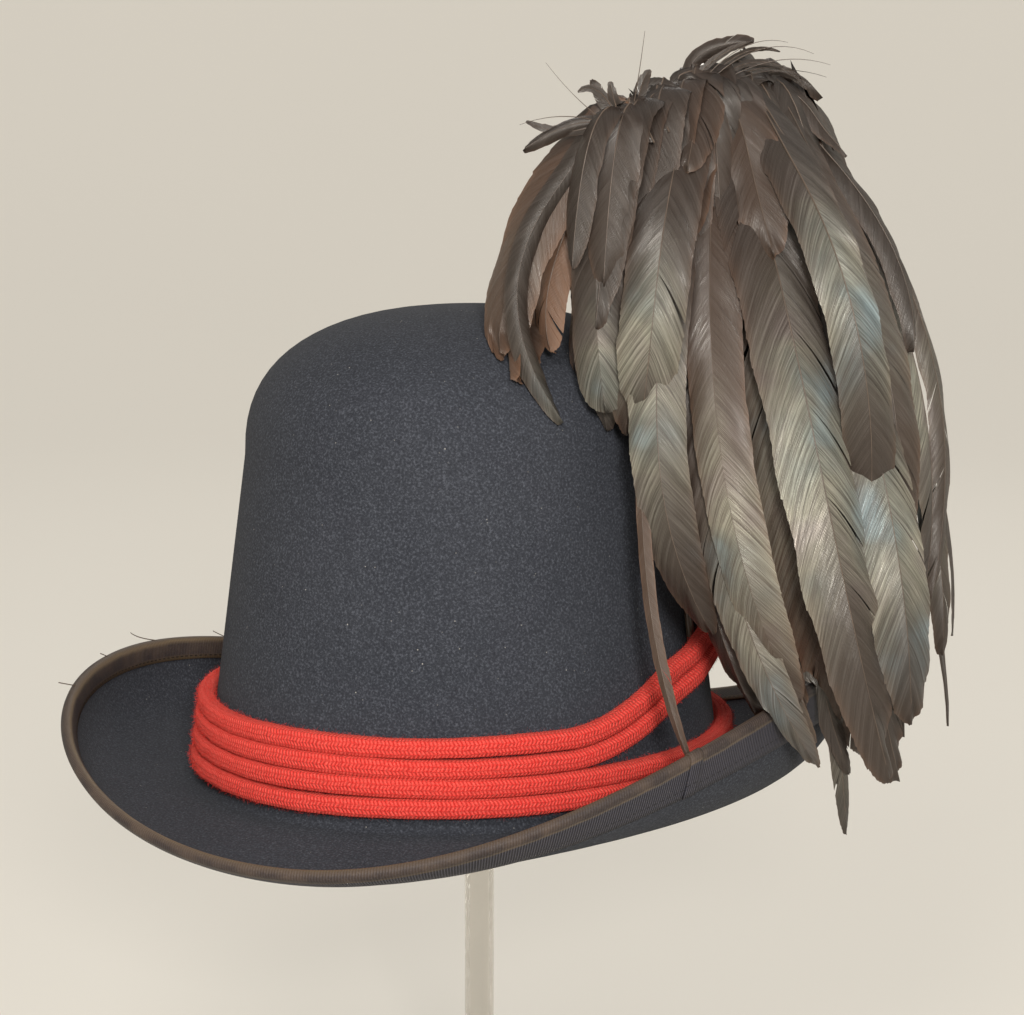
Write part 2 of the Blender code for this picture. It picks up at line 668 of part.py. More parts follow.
def make_stand(material):
    edge = BASE_CHAMFER
    base = [(0.0, 0.0), (BASE_RADIUS - edge, 0.0), (BASE_RADIUS, edge), (BASE_RADIUS, BASE_THICKNESS - edge),
            (BASE_RADIUS - edge, BASE_THICKNESS), (0.0, BASE_THICKNESS)]
    add_object("stand_base", turned_mesh("stand_base", base), material)

    def cap_height(radius):
        return HAT_LIFT + crown_ceiling(radius + abs(HAT_OFFSET)) - CEILING_SHARE * FELT - GAP

    radii = [CAP_RADIUS * i / CAP_ROWS for i in range(CAP_ROWS, -1, -1)]
    top = [(radius, cap_height(radius)) for radius in radii]
    foot = cap_height(CAP_RADIUS) - CAP_THICKNESS
    cap = [(0.0, foot), (CAP_RADIUS, foot)] + top
    add_object("stand_cap", turned_mesh("stand_cap", cap), material)
    low, high = BASE_THICKNESS + GAP, foot - GAP
    post = [(0.0, low), (POST_RADIUS, low), (POST_RADIUS, high), (0.0, high)]
    add_object("stand_post", turned_mesh("stand_post", post, ROUND_SIDES // 2), material)


def main():
    clear_scene()
    acrylic = principled("clear acrylic", (0.86, 0.90, 0.90), 0.05, transmission=0.9)
    felt = principled("blue-black felt", (0.018, 0.019, 0.024), 0.95)
    ribbon = principled("faded brown ribbon", (0.055, 0.035, 0.028), 0.8)
    wool = principled("red wool cord", (0.52, 0.045, 0.030), 0.9)
    feather = principled("dark feathers", (0.055, 0.045, 0.038), 0.5)
    make_stand(acrylic)
    make_felt(felt)
    make_binding(ribbon)
    for number in range(4):
        make_cord(number, wool)
    make_plume(feather)


main()
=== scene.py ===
# A plumed felt hat on a clear stand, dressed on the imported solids. Metres, +Z up, the hat's front faces -Y
# and the wearer's left is +X. Turn angles run from the front over the wearer's left to the back.
import math
import random
from math import cos, pi, radians, sin, tau

import bmesh
import bpy
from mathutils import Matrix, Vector


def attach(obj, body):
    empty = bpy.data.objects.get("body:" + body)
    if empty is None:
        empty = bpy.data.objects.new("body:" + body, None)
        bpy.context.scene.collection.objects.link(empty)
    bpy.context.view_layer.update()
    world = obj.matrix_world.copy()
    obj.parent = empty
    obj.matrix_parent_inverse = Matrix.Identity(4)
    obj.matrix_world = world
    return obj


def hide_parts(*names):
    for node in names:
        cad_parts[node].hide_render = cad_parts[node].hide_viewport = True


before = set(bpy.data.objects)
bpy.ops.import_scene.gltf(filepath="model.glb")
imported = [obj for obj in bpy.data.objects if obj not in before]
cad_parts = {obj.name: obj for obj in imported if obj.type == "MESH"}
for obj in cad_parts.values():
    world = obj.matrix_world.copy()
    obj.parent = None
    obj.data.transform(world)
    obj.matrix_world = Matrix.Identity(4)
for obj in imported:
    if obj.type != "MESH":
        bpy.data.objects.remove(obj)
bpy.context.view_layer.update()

# The same driving dimensions as the solids
BASE_RADIUS = 0.080
BASE_THICKNESS = 0.008
BASE_EDGE = 0.0014
POST_RADIUS = 0.005
POST_EDGE = 0.0003
CAP_RADIUS = 0.030
CAP_THICKNESS = 0.007
CAP_RIM = 0.003
CAP_EDGE = 0.0010
CEILING_SHARE = 1.15      # of the felt's thickness, between the crown's outside and the cap
HAT_ORIGIN = Vector((-0.005, 0.0, 0.150))
FELT = 0.0022
CROWN_HALF_WIDTH = 0.0845
CROWN_HALF_LENGTH = 0.0996
CROWN_HEIGHT = 0.156
CROWN_TAPER = 0.77
SHOULDER_HEIGHT = 0.048
SHOULDER_START = CROWN_HEIGHT - SHOULDER_HEIGHT
SHOULDER_POWER = 2.46
FILLET = 0.003
BRIM_HALF_LENGTH = 0.145
BRIM_RIGHT = 0.1295
BRIM_LEFT = 0.1243
BRIM_FRONT_DROP = 0.002
BRIM_ROLL_RISE = 0.031
BRIM_LEFT_RISE = 0.010
BRIM_START_DEGREES = (-9.0, 7.0)             # in front and at the sides, as the next two pairs
BRIM_END_DEGREES = (34.0, 94.0)
BRIM_START_PULL_SHARES = (0.40, 0.62)
BRIM_END_PULL_SHARE = 0.34
BRIM_ROLL_PULL_SHARE = 0.30
BRIM_SIDE_PULL_SHARE = 0.10
RIBBON = 0.0006
RIBBON_TOP = 0.0062
RIBBON_OUTSIDE = 0.012
CORD_RADIUS = 0.0030
CORD_FOOT = 0.0082
CORD_RISE = 0.0253
CORD_RISE_DEGREES = (46.0, 102.0, 150.0)     # foot, top and foot of the rise
GAP = 0.0003
STEM_HALF_WIDTH = 0.0022
STEM_THICKNESS = 0.0024
STEM_FOOT = 0.046
STEM_BOW = 0.0034
STEM_TOP_SHARE = 0.35
PLUME_TURN_DEGREES = 22.0
PLUME_SPREAD = 0.085
PLUME_DEPTH = 0.060
PLUME_HEIGHT = 0.240
HEAD_RADIUS = 0.0070
FEATHER_WIDTH = 0.020
FEATHER_CLEARANCE = 0.0027
FACING_SHARE = 0.6        # how far a feather turns towards the side that it bends to
FACING_BEHIND_SHARE = 0.2

# Divisions of the fine surfaces
AROUND = 240
EDGE_AROUND = 480
SHOULDER_ROWS = 18
WALL_ROWS = 10
BRIM_ROWS = 18
CORD_AROUND = 900
CORD_SIDES = 28
BARB_STEP = 0.0012        # between the modelled rows of barbs, along a feather
BARB_POINTS = 5
REACH_STEP = 0.0004
LINE_STEPS = 18
QUILL_STEPS = 26
QUILL_SIDES = 5
HAIR_SIDES = 4

# Pitches of the fine textures
RIB_PITCH = 0.0009
STITCH_PITCH = 0.0026
KNIT_PITCH = 0.0012
CORD_ROWS = 14            # rows of stitches round the cord, an even number
BARB_PITCH = 0.0007

# Handwork and wear
FELT_WAVE = 0.00022
CORD_WAVES = (0.00025, 0.00015)
CORD_SQUARENESS = 3.2     # 2 is a round section
CORD_FIBRES = 15000
FIBRE_THICKNESS = 0.00003
LAP_DEGREES = 57.0        # the ribbon's lapped end, on the wearer's left
THREAD_RADIUS = 0.00018

# Barbs: their lean from the quill at the root, in the middle and at the tip, and how a slit opens
BARB_LEANS = [radians(degrees) for degrees in (44.0, 30.0, 12.0)]
BARB_LEAST_LEAN = 0.12
SLIT_OPEN = (0.010, 0.050)
SLIT_LENGTH = 0.006
WAVE_LENGTHS = (0.012, 0.040)
# The painted sheen's spread along a feather
SHEEN_SHARE = 0.14        # of a feather's length, on each side of its brightest place

# Camera, set to the photograph's angle
CAMERA_TURN = 22.24
CAMERA_RISE = 9.04
CAMERA_DISTANCE = 1.0307
CAMERA_AIM = 0.070        # over the junction plane
CAMERA_LENS = 107.5
CAMERA_SHIFT = (0.0451, 0.0520)

UP = Vector((0.0, 0.0, 1.0))


# Small helpers

def clamp(value):
    return min(max(value, 0.0), 1.0)


def smooth_step(value):
    value = clamp(value)
    return value * value * (3.0 - 2.0 * value)


def mix(a, b, share):
    return a + (b - a) * share


def quadratic(first, middle, last, share, bend=0.5):
    """A place on the curve that passes through the middle place at the share bend."""
    pull = (middle - first * (1 - bend) ** 2 - last * bend ** 2) / (2 * bend * (1 - bend))
    return first * (1 - share) ** 2 + pull * (2 * share * (1 - share)) + last * share ** 2


def direction(turn, rise):
    turn, rise = radians(turn), radians(rise)
    return Vector((sin(turn) * cos(rise), -cos(turn) * cos(rise), sin(rise)))


def ring(centre, right, top, radius, sides):
    turns = [tau * j / sides for j in range(sides)]
    return [centre + (right * cos(turn) + top * sin(turn)) * radius for turn in turns]


def grid_faces(rows, columns, loop_rows=False, loop_columns=False, start=0):
    """Quads of a grid of points that are stored row by row."""
    faces = []
    for i in range(rows if loop_rows else rows - 1):
        for j in range(columns if loop_columns else columns - 1):
            a = start + i * columns
            b = start + (i + 1) % rows * columns
            k = (j + 1) % columns
            faces.append((a + j, b + j, b + k, a + k))
    return faces


def capped_tube(rows, sides, start=0):
    last = start + (rows - 1) * sides
    caps = [tuple(range(start, start + sides)), tuple(range(last, last + sides))[::-1]]
    return grid_faces(rows, sides, loop_columns=True, start=start) + caps


def new_object(name, points, faces, material):
    mesh = bpy.data.meshes.new(name)
    mesh.from_pydata([tuple(p) for p in points], [], faces)
    mesh.materials.append(material)
    mesh.shade_smooth()
    thing = bpy.data.objects.new(name, mesh)
    bpy.context.collection.objects.link(thing)
    return thing


def mesh_object(name, points, faces, material, uvs=None, tones=None):
    thing = new_object(name, points, faces, material)
    for layer_name, values in (("UVMap", uvs), ("Tone", tones)):
        if values is not None:
            layer = thing.data.uv_layers.new(name=layer_name)
            flat = []
            for loop in thing.data.loops:
                flat += values[loop.vertex_index]
            layer.data.foreach_set("uv", flat)
    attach(thing, "root")
    return thing


def recalculate(thing):
    bm = bmesh.new()
    bm.from_mesh(thing.data)
    bmesh.ops.recalc_face_normals(bm, faces=bm.faces)
    bm.to_mesh(thing.data)
    bm.free()


# Materials

class Look:
    """A material in the making. Sockets of its shader and nodes take constants or Values."""

    def __init__(self, name, constants):
        self.material = bpy.data.materials.new(name)
        self.material.use_nodes = True
        self.tree = self.material.node_tree
        self.shader = self.tree.nodes["Principled BSDF"]
        self.fill(self.shader, constants)

    def fill(self, node, inputs):
        for key, value in inputs.items():
            if isinstance(value, Value):
                self.tree.links.new(value.socket, node.inputs[key])
            else:
                node.inputs[key].default_value = value

    def out(self, kind, output, inputs=None, **settings):
        node = self.tree.nodes.new(kind)
        for key, value in settings.items():
            setattr(node, key, value)
        self.fill(node, inputs or {})
        return Value(self, node.outputs[output])

    def place(self):
        return self.out("ShaderNodeTexCoord", "Object")

    def uv_axes(self, layer="UVMap"):
        uv = self.out("ShaderNodeUVMap", "UV", uv_map=layer)
        return [self.out("ShaderNodeSeparateXYZ", axis, {"Vector": uv}) for axis in "XY"]

    def done(self, inputs):
        self.fill(self.shader, inputs)
        return self.material


class Value:
    """A node's output, with which sums add math nodes."""

    def __init__(self, look, socket):
        self.look, self.socket = look, socket

    def __add__(self, other):
        return calc("ADD", self, other)

    def __sub__(self, other):
        return calc("SUBTRACT", self, other)

    def __rsub__(self, other):
        return calc("SUBTRACT", other, self)

    def __mul__(self, other):
        return calc("MULTIPLY", self, other)

    def __truediv__(self, other):
        return calc("DIVIDE", self, other)

    def __pow__(self, other):
        return calc("POWER", self, other)


def calc(operation, *values):
    look = next(value.look for value in values if isinstance(value, Value))
    return look.out("ShaderNodeMath", 0, dict(enumerate(values)), operation=operation)


def noise(place, scale, detail=2.0, roughness=0.5):
    return place.look.out("ShaderNodeTexNoise", "Fac", {"Vector": place, "Scale": scale, "Detail": detail,
                                                        "Roughness": roughness})


def wave(value, pitch):
    return calc("SINE", value * (tau / pitch)) * 0.5 + 0.5


def ramp(value, *stops):
    """A colour ramp from (position, colour) stops; a plain number stands for a grey."""
    colour_out = value.look.out("ShaderNodeValToRGB", "Color", {"Fac": value})
    elements = colour_out.socket.node.color_ramp.elements
    while len(elements) < len(stops):
        elements.new(0.5)
    for element, (position, colour) in zip(elements, stops):
        element.position = position
        element.color = (colour, colour, colour, 1.0) if isinstance(colour, float) else (*colour, 1.0)
    return colour_out


def rising(value, low, high):
    return ramp(value, (low, 0.0), (high, 1.0))


def falling(value, low, high):
    return ramp(value, (low, 1.0), (high, 0.0))


def blend(share, first, second):
    """From the first colour to the second, by share."""
    colours = {6: first, 7: second}
    colours = {key: colour if isinstance(colour, Value) else (*colour, 1.0) for key, colour in colours.items()}
    return share.look.out("ShaderNodeMix", 2, {0: share, **colours}, data_type="RGBA")


def bump(height, distance, strength, under=None):
    inputs = {"Height": height, "Distance": distance, "Strength": strength}
    if under is not None:
        inputs["Normal"] = under
    return height.look.out("ShaderNodeBump", "Normal", inputs)


def felt_material():
    """Dense blue-black wool felt with a short nap, light fibres and a little dust."""
    look = Look("blue-black felt", {"Roughness": 0.95, "Specular IOR Level": 0.08, "Sheen Weight": 0.02,
                                    "Sheen Roughness": 0.6})
    place = look.place()
    base = blend(noise(place, 26.0, 3.0), (0.021, 0.023, 0.029), (0.033, 0.035, 0.042))
    nap = noise(place, 1400.0, 3.0, 0.65)
    base = blend(rising(nap, 0.50, 0.70) * 0.42, base, (0.115, 0.123, 0.146))
    base = blend(falling(nap, 0.30, 0.46) * 0.5, base, (0.010, 0.010, 0.013))
    cells = look.out("ShaderNodeTexVoronoi", "Distance", {"Vector": place, "Scale": 420.0, "Randomness": 1.0})
    dust = falling(cells, 0.06, 0.11) * rising(noise(place, 150.0), 0.56, 0.68)
    base = blend(dust * 0.6, base, (0.42, 0.40, 0.36))
    soft = bump(noise(place, 300.0, 3.0), 0.0004, 0.3)
    return look.done({"Base Color": base, "Normal": bump(nap, 0.0003, 0.55, soft)})


def ribbon_material():
    """Ribbed ribbon: dark outside, its ribs painted light on the ridges and dark in the valleys; faded brown on top;
    gold-brown at the fold, partly wear and partly a painted highlight.
    """
    look = Look("ribbed ribbon", {"Roughness": 0.55, "Specular IOR Level": 0.16})
    along, across = look.uv_axes()
    place = look.place()
    width = RIBBON_TOP + RIBBON_OUTSIDE + 2 * FELT
    weave = noise(place, 1700.0, 3.0, 0.6)
    cloud = noise(place, 70.0, 4.0, 0.6)
    rib = wave(along, RIB_PITCH)
    # From the upper inner edge (0) over the fold to the outer lower edge (1)
    share = across / width
    # The gold-brown band at the fold (near 0.31) is partly wear and partly a painted highlight on the rounded edge
    body = ramp((cloud - 0.5) * 0.08 + share, (0.00, (0.120, 0.080, 0.038)), (0.045, (0.090, 0.060, 0.032)),
                (0.085, (0.030, 0.022, 0.021)), (0.25, (0.040, 0.028, 0.023)), (0.31, (0.150, 0.104, 0.056)),
                (0.37, (0.080, 0.055, 0.037)), (0.44, (0.036, 0.026, 0.022)), (0.57, (0.030, 0.022, 0.019)),
                (0.60, (0.085, 0.065, 0.042)), (0.63, (0.022, 0.021, 0.027)), (1.0, (0.019, 0.019, 0.026)))
    inside = falling(share, 0.59, 0.63)
    body = blend(rising(cloud, 0.45, 0.65) * inside * 0.35, body, (0.130, 0.088, 0.058))
    body = blend(rising(weave, 0.50, 0.70) * 0.16, body, (0.190, 0.150, 0.115))
    # The ribs get a painted highlight on their ridges and painted shade in their valleys, most of all outside
    ribbed = (1.0 - inside) * 0.65 + 0.25
    body = blend(rising(rib, 0.45, 0.95) * ribbed * 0.80, body, (0.080, 0.077, 0.094))
    body = blend(falling(rib, 0.05, 0.50) * ribbed * 0.80, body, (0.010, 0.009, 0.012))
    # Small stitches along the inner edge and along the outer lower edge
    dash = calc("LESS_THAN", calc("FRACT", along / STITCH_PITCH), 0.55)
    rows = calc("MAXIMUM", calc("COMPARE", across, 0.0011, 0.00020), calc("COMPARE", across, width - 0.0016, 0.00018))
    stitches = dash * rows
    body = blend(stitches * 0.8, body, (0.010, 0.009, 0.010))
    relief = bump(rib * ribbed - stitches, 0.00030, 0.9)
    return look.done({"Base Color": body, "Normal": bump(weave, 0.0001, 0.5, relief)})


def cord_material():
    """Round knitted wool cord: rows of slanted stitches that point left and right in turn, and loose wool, with
    painted shade in the hollows and painted highlight specks.
    """
    look = Look("red wool cord", {"Roughness": 0.95, "Specular IOR Level": 0.10, "Sheen Weight": 0.18,
                                  "Sheen Roughness": 0.5, "Sheen Tint": (1.0, 0.30, 0.22, 1.0)})
    along, around = look.uv_axes()
    place = look.place()
    wander = noise(place, 220.0) - 0.5
    rows = around * float(CORD_ROWS) + wander * 0.8
    number = calc("FLOOR", rows)
    side = (rows - number) * 2.0 - 1.0
    lean = calc("MODULO", calc("ABSOLUTE", number), 2.0) * 2.0 - 1.0
    phase = along * (tau / KNIT_PITCH) + side * lean * 1.7 + wander * 5.0
    loop = calc("COSINE", phase) * 0.5 + 0.5
    arch = 1.0 - calc("ABSOLUTE", side) ** 2.5
    height = loop ** 0.7 * (arch * 0.7 + 0.3)
    wool = noise(place, 2600.0, 3.0, 0.7)
    fibre = noise(place, 700.0, 4.0, 0.7)
    # Painted shade in the knit's hollows and painted light on its crests, following the stitches' height
    body = ramp(height, (0.05, (0.400, 0.016, 0.013)), (0.40, (0.600, 0.032, 0.025)), (0.95, (0.700, 0.072, 0.056)))
    # Pale specks over the wool: painted highlights
    body = blend(rising(wool, 0.48, 0.74) * 0.40, body, (0.920, 0.240, 0.185))
    body = blend(falling(fibre, 0.34, 0.5) * 0.35, body, (0.430, 0.010, 0.008))
    return look.done({"Base Color": body, "Normal": bump(wool, 0.00025, 0.8, bump(height, 0.00045, 0.8))})


def feather_material():
    """Dark brown-black feathers: fine barbs, a silky shine, painted sheen in light patches and streaks, and metallic
    patches of green, blue and gold iridescence where the painted sheen is strongest.
    """
    look = Look("dark feathers", {"IOR": 1.65, "Specular IOR Level": 0.36, "Specular Tint": (1.0, 0.96, 0.90, 1.0),
                                  "Anisotropic": 0.55, "Anisotropic Rotation": 0.25})
    across, along = look.uv_axes()
    brown, glow = look.uv_axes("Tone")
    place = look.place()
    line = along + (noise(place, 90.0, 3.0) - 0.5) * 0.0008
    barbs = wave(line, BARB_PITCH)
    lanes = look.out("ShaderNodeCombineXYZ", 0, {"X": line, "Y": across * 0.06})
    streak = noise(lanes, 900.0, 3.0, 0.65)
    broad = noise(lanes, 230.0)
    fine = noise(lanes, 2600.0, 3.0, 0.7)
    # Painted sheen: light broad patches and light streaks on the vanes, strongest where the sheen amount is high
    painted_sheen_weight = glow * 1.5 + 0.15
    body = blend(brown ** 1.8, (0.022, 0.0155, 0.0120), (0.165, 0.084, 0.047))
    body = blend(rising(broad, 0.45, 0.66) * painted_sheen_weight, body, (0.112, 0.090, 0.077))
    body = blend(rising(streak, 0.50, 0.72) * painted_sheen_weight * 0.70, body, (0.235, 0.204, 0.188))
    body = blend(falling(streak, 0.26, 0.48) * 0.34, body, (0.011, 0.009, 0.008))
    body = blend((1.0 - barbs) * 0.22, body, (0.008, 0.006, 0.005))
    # Metallic iridescent colours, laid on where the painted sheen is
    colours = ramp(noise(place, 34.0), (0.32, (0.50, 0.70, 0.74)), (0.42, (0.42, 0.47, 0.40)),
                   (0.55, (0.66, 0.65, 0.50)), (0.68, (0.52, 0.45, 0.41)))
    grain = rising(streak * 0.5 + fine * 0.5, 0.40, 0.60)
    sheen = glow * (grain * 0.85 + 0.15)
    # The gloss breaks up into fine streaks
    roughness = streak * 0.34 + (falling(fine, 0.40, 0.62) * 0.22 + 0.12)
    tangent = look.out("ShaderNodeTangent", 0, direction_type="UV_MAP", uv_map="UVMap")
    relief = bump(streak * 1.2 + barbs * 0.7, 0.00030, 0.52)
    return look.done({"Base Color": blend(sheen, body, colours), "Roughness": roughness, "Metallic": sheen * 0.9,
                      "Tangent": tangent, "Normal": relief})


def quill_material():
    look = Look("feather quills", {"Roughness": 0.35})
    body = blend(noise(look.place(), 120.0), (0.036, 0.026, 0.020), (0.130, 0.092, 0.066))
    return look.done({"Base Color": body})


def acrylic_material():
    """Clear polished acrylic with a warm tint and a few fine scuffs."""
    look = Look("clear acrylic", {"Transmission Weight": 1.0, "IOR": 1.49, "Alpha": 0.70})
    place = look.place()
    tint = blend(noise(place, 12.0), (0.520, 0.485, 0.425), (0.620, 0.585, 0.525))
    scuff = rising(noise(place, 320.0, 5.0, 0.7), 0.62, 0.78)
    return look.done({"Base Color": tint, "Roughness": scuff * 0.10 + 0.02})


def floor_material():
    """Pale and matt. A faint glow of its own keeps floor and wall evenly bright."""
    look = Look("pale floor", {"Roughness": 0.9, "Emission Color": (1.0, 0.945, 0.845, 1.0),
                               "Emission Strength": 0.38})
    return look.done({"Base Color": blend(noise(look.place(), 3.0), (0.375, 0.352, 0.310), (0.390, 0.366, 0.322))})


# Form of the crown and the brim, as in the solids

def crown_share(height):
    straight = 1.0 + (CROWN_TAPER - 1.0) * min(height, SHOULDER_START) / CROWN_HEIGHT
    rise = clamp((height - SHOULDER_START) / SHOULDER_HEIGHT)
    return straight * (1.0 - rise ** SHOULDER_POWER) ** (1.0 / SHOULDER_POWER)


def crown_ceiling(distance):
    share = min(distance / (CROWN_HALF_WIDTH * crown_share(SHOULDER_START)), 1.0)
    return SHOULDER_START + SHOULDER_HEIGHT * (1.0 - share ** SHOULDER_POWER) ** (1.0 / SHOULDER_POWER)


def crown_normal(turn):
    return Vector((sin(turn) / CROWN_HALF_WIDTH, -cos(turn) / CROWN_HALF_LENGTH, 0.0)).normalized()


def crown_point(turn, height, offset=0.0):
    share = crown_share(max(height, 0.0))
    place = Vector((CROWN_HALF_WIDTH * share * sin(turn), -CROWN_HALF_LENGTH * share * cos(turn), height))
    return place + crown_normal(turn) * offset


def brim_edge(turn):
    side = sin(turn) ** 2
    left = 1.0 if sin(turn) > 0.0 else 0.0
    half = BRIM_LEFT if left else BRIM_RIGHT
    height = -BRIM_FRONT_DROP + BRIM_ROLL_RISE * side + BRIM_LEFT_RISE * left * side
    return Vector((half * sin(turn), -BRIM_HALF_LENGTH * cos(turn), height))


def brim_section(turn, steps=40):
    """The brim's upper face as a cubic curve of (outward from the crown's foot, height) points."""
    foot, edge = crown_point(turn, 0.0), brim_edge(turn)
    reach = math.hypot(edge.x - foot.x, edge.y - foot.y)
    side = sin(turn) ** 2
    start_angle = radians(mix(*BRIM_START_DEGREES, side))
    end_angle = radians(mix(*BRIM_END_DEGREES, side))
    width = reach - FILLET
    start_pull = width * mix(*BRIM_START_PULL_SHARES, side)
    end_pull = width * BRIM_END_PULL_SHARE + BRIM_ROLL_PULL_SHARE * abs(edge.z)
    end_pull *= 1.0 + BRIM_SIDE_PULL_SHARE * side
    corners = ((FILLET, 0.0), (FILLET + start_pull * cos(start_angle), start_pull * sin(start_angle)),
               (reach - end_pull * cos(end_angle), edge.z - end_pull * sin(end_angle)), (reach, edge.z))
    points = []
    for i in range(steps + 1):
        s = i / steps
        weights = ((1 - s) ** 3, 3 * s * (1 - s) ** 2, 3 * s * s * (1 - s), s ** 3)
        points.append(tuple(sum(w * c[axis] for w, c in zip(weights, corners)) for axis in (0, 1)))
    return points


def at_distance(points, from_end):
    left = from_end
    for near, far in zip(points[-2::-1], points[::-1]):
        step = math.dist(near, far)
        if left <= step:
            share = left / step
            return tuple(f + (n - f) * share for n, f in zip(near, far))
        left -= step
    return points[0]


def felt_section(turn):
    """The felt's outer face as (outward from the crown's foot, height) points, from near the top down."""
    foot_distance = crown_point(turn, 0.0).length
    points = []
    for i in range(1, SHOULDER_ROWS + 1):
        angle = pi / 2 * i / SHOULDER_ROWS
        height = SHOULDER_START + SHOULDER_HEIGHT * max(cos(angle), 0.0) ** (2.0 / SHOULDER_POWER)
        share = crown_share(SHOULDER_START) * sin(angle) ** (2.0 / SHOULDER_POWER)
        points.append((foot_distance * (share - 1.0), height))
    for i in range(1, WALL_ROWS + 1):
        height = mix(SHOULDER_START, FILLET, i / WALL_ROWS)
        points.append((foot_distance * (crown_share(height) - 1.0), height))
    for angle in (pi / 6, pi / 3):
        points.append((FILLET * (1.0 - cos(angle)), FILLET * (1.0 - sin(angle))))
    curve = brim_section(turn)
    length = sum(math.dist(a, b) for a, b in zip(curve, curve[1:]))
    return points + [at_distance(curve, length * (BRIM_ROWS - i) / BRIM_ROWS) for i in range(BRIM_ROWS + 1)]


def section_offset(points, distances):
    moved = []
    for i, point in enumerate(points):
        before, after = points[max(i - 1, 0)], points[min(i + 1, len(points) - 1)]
        run = (after[0] - before[0], after[1] - before[1])
        size = math.hypot(*run)
        moved.append((point[0] + run[1] / size * distances[i], point[1] - run[0] / size * distances[i]))
    return moved


def place_section(turn, section):
    foot, edge = crown_point(turn, 0.0), brim_edge(turn)
    run = Vector((edge.x - foot.x, edge.y - foot.y, 0.0)).normalized()
    placed = []
    for out, height in section:
        place = foot * ((foot.length + out) / foot.length) if out < 0.0 else foot + run * out
        placed.append(Vector((place.x, place.y, height)) + HAT_ORIGIN)
    return placed


# Felt cap

def handwork(turn, out, height):
    """How far the blocked felt stands in or out: it is not quite even on the crown's wall and the open brim."""
    if out < 0.0:
        free = smooth_step((height - 0.050) / 0.03) * smooth_step((CROWN_HEIGHT - height) / 0.02)
    else:
        free = smooth_step((out - 0.012) / 0.012) * smooth_step((0.034 - out) / 0.010)
    ripple = sin(3 * turn + 1.0 + height * 40) + 0.7 * sin(5 * turn + 2.4 - height * 55)
    return -FELT_WAVE * ripple * free


def make_felt(material):
    outer, inner = [], []
    for i in range(AROUND):
        turn = tau * i / AROUND
        section = felt_section(turn)
        section = section_offset(section, [handwork(turn, *point) for point in section])
        outer += place_section(turn, section)
        inner += place_section(turn, section_offset(section, [FELT] * len(section)))
    rows, shift = len(outer) // AROUND, len(outer)
    points = [HAT_ORIGIN + UP * CROWN_HEIGHT, HAT_ORIGIN + UP * (CROWN_HEIGHT - FELT)] + outer + inner
    faces = []
    for i in range(AROUND):
        a, b = 2 + i * rows, 2 + (i + 1) % AROUND * rows
        faces += [(0, a, b), (1, b + shift, a + shift)]
        for j in range(rows - 1):
            k = j + shift
            faces += [(a + j, a + j + 1, b + j + 1, b + j), (a + k, b + k, b + k + 1, a + k + 1)]
        end = rows - 1
        faces.append((a + end, a + shift + end, b + shift + end, b + end))
    felt = mesh_object("felt_hat", points, faces, material)
    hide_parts("felt_body")


# Ribbon folded over the brim's edge

def ribbon_line(turn, layer):
    """The ribbon's section at a distance from the felt: upper side, fold, outer side."""
    curve = brim_section(turn, 60)
    upper = [at_distance(curve, d) for d in (RIBBON_TOP, 0.0045, 0.003, 0.0015, 0.0005)]
    wide = [at_distance(curve, d) for d in (RIBBON_OUTSIDE + 0.001, RIBBON_OUTSIDE, 0.010, 0.008, 0.006, 0.004,
                                            0.002, 0.0005, 0.0)]
    under = section_offset(wide, [FELT + layer] * len(wide))[1:-1]
    run = (curve[-1][0] - curve[-3][0], curve[-1][1] - curve[-3][1])
    size = math.hypot(*run)
    along = (run[0] / size, run[1] / size)
    square = (-along[1], along[0])
    line = []
    for point, rise in zip(upper, (0.0, 0.35, 0.5, 0.45, 0.3)):
        lift = layer + rise * RIBBON
        line.append((point[0] + square[0] * lift, point[1] + square[1] * lift))
    middle = (curve[-1][0] - square[0] * FELT / 2, curve[-1][1] - square[1] * FELT / 2)
    radius = FELT / 2 + layer + 0.15 * RIBBON
    for degrees in (75.0, 45.0, 15.0, -15.0, -45.0, -75.0):
        forward, up = radius * cos(radians(degrees)), radius * sin(radians(degrees))
        line.append(tuple(m + a * forward + s * up for m, a, s in zip(middle, along, square)))
    return line + under[::-1]


def ribbon_piece(name, turns, layer, skin, closed, material):
    points, uvs = [], []
    length, last = 0.0, None
    for turn in turns:
        outside, inside = ribbon_line(turn, layer + skin), ribbon_line(turn, layer)
        placed = place_section(turn, outside + inside[::-1])
        if last is not None:
            length += (placed[6] - last).length
        last = placed[6]
        widths = [0.0]
        for a, b in zip(outside, outside[1:]):
            widths.append(widths[-1] + math.dist(a, b))
        points += placed
        uvs += [(length, w) for w in widths + widths[::-1]]
    if closed:
        faces = grid_faces(len(turns), len(placed), loop_rows=True, loop_columns=True)
    else:
        faces = capped_tube(len(turns), len(placed))
    ribbon = mesh_object(name, points, faces, material, uvs)
    recalculate(ribbon)
    return ribbon


def make_binding(material):
    turns = [tau * (i + 0.5) / EDGE_AROUND + pi for i in range(EDGE_AROUND)]
    binding = ribbon_piece("ribbon_binding", turns, GAP * 0.3, RIBBON, True, material)
    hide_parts("brim_binding")
    lap = [radians(LAP_DEGREES + 0.5 * i) for i in range(5)]
    ribbon_piece("ribbon_lap", lap, RIBBON, RIBBON * 0.8, False, material)


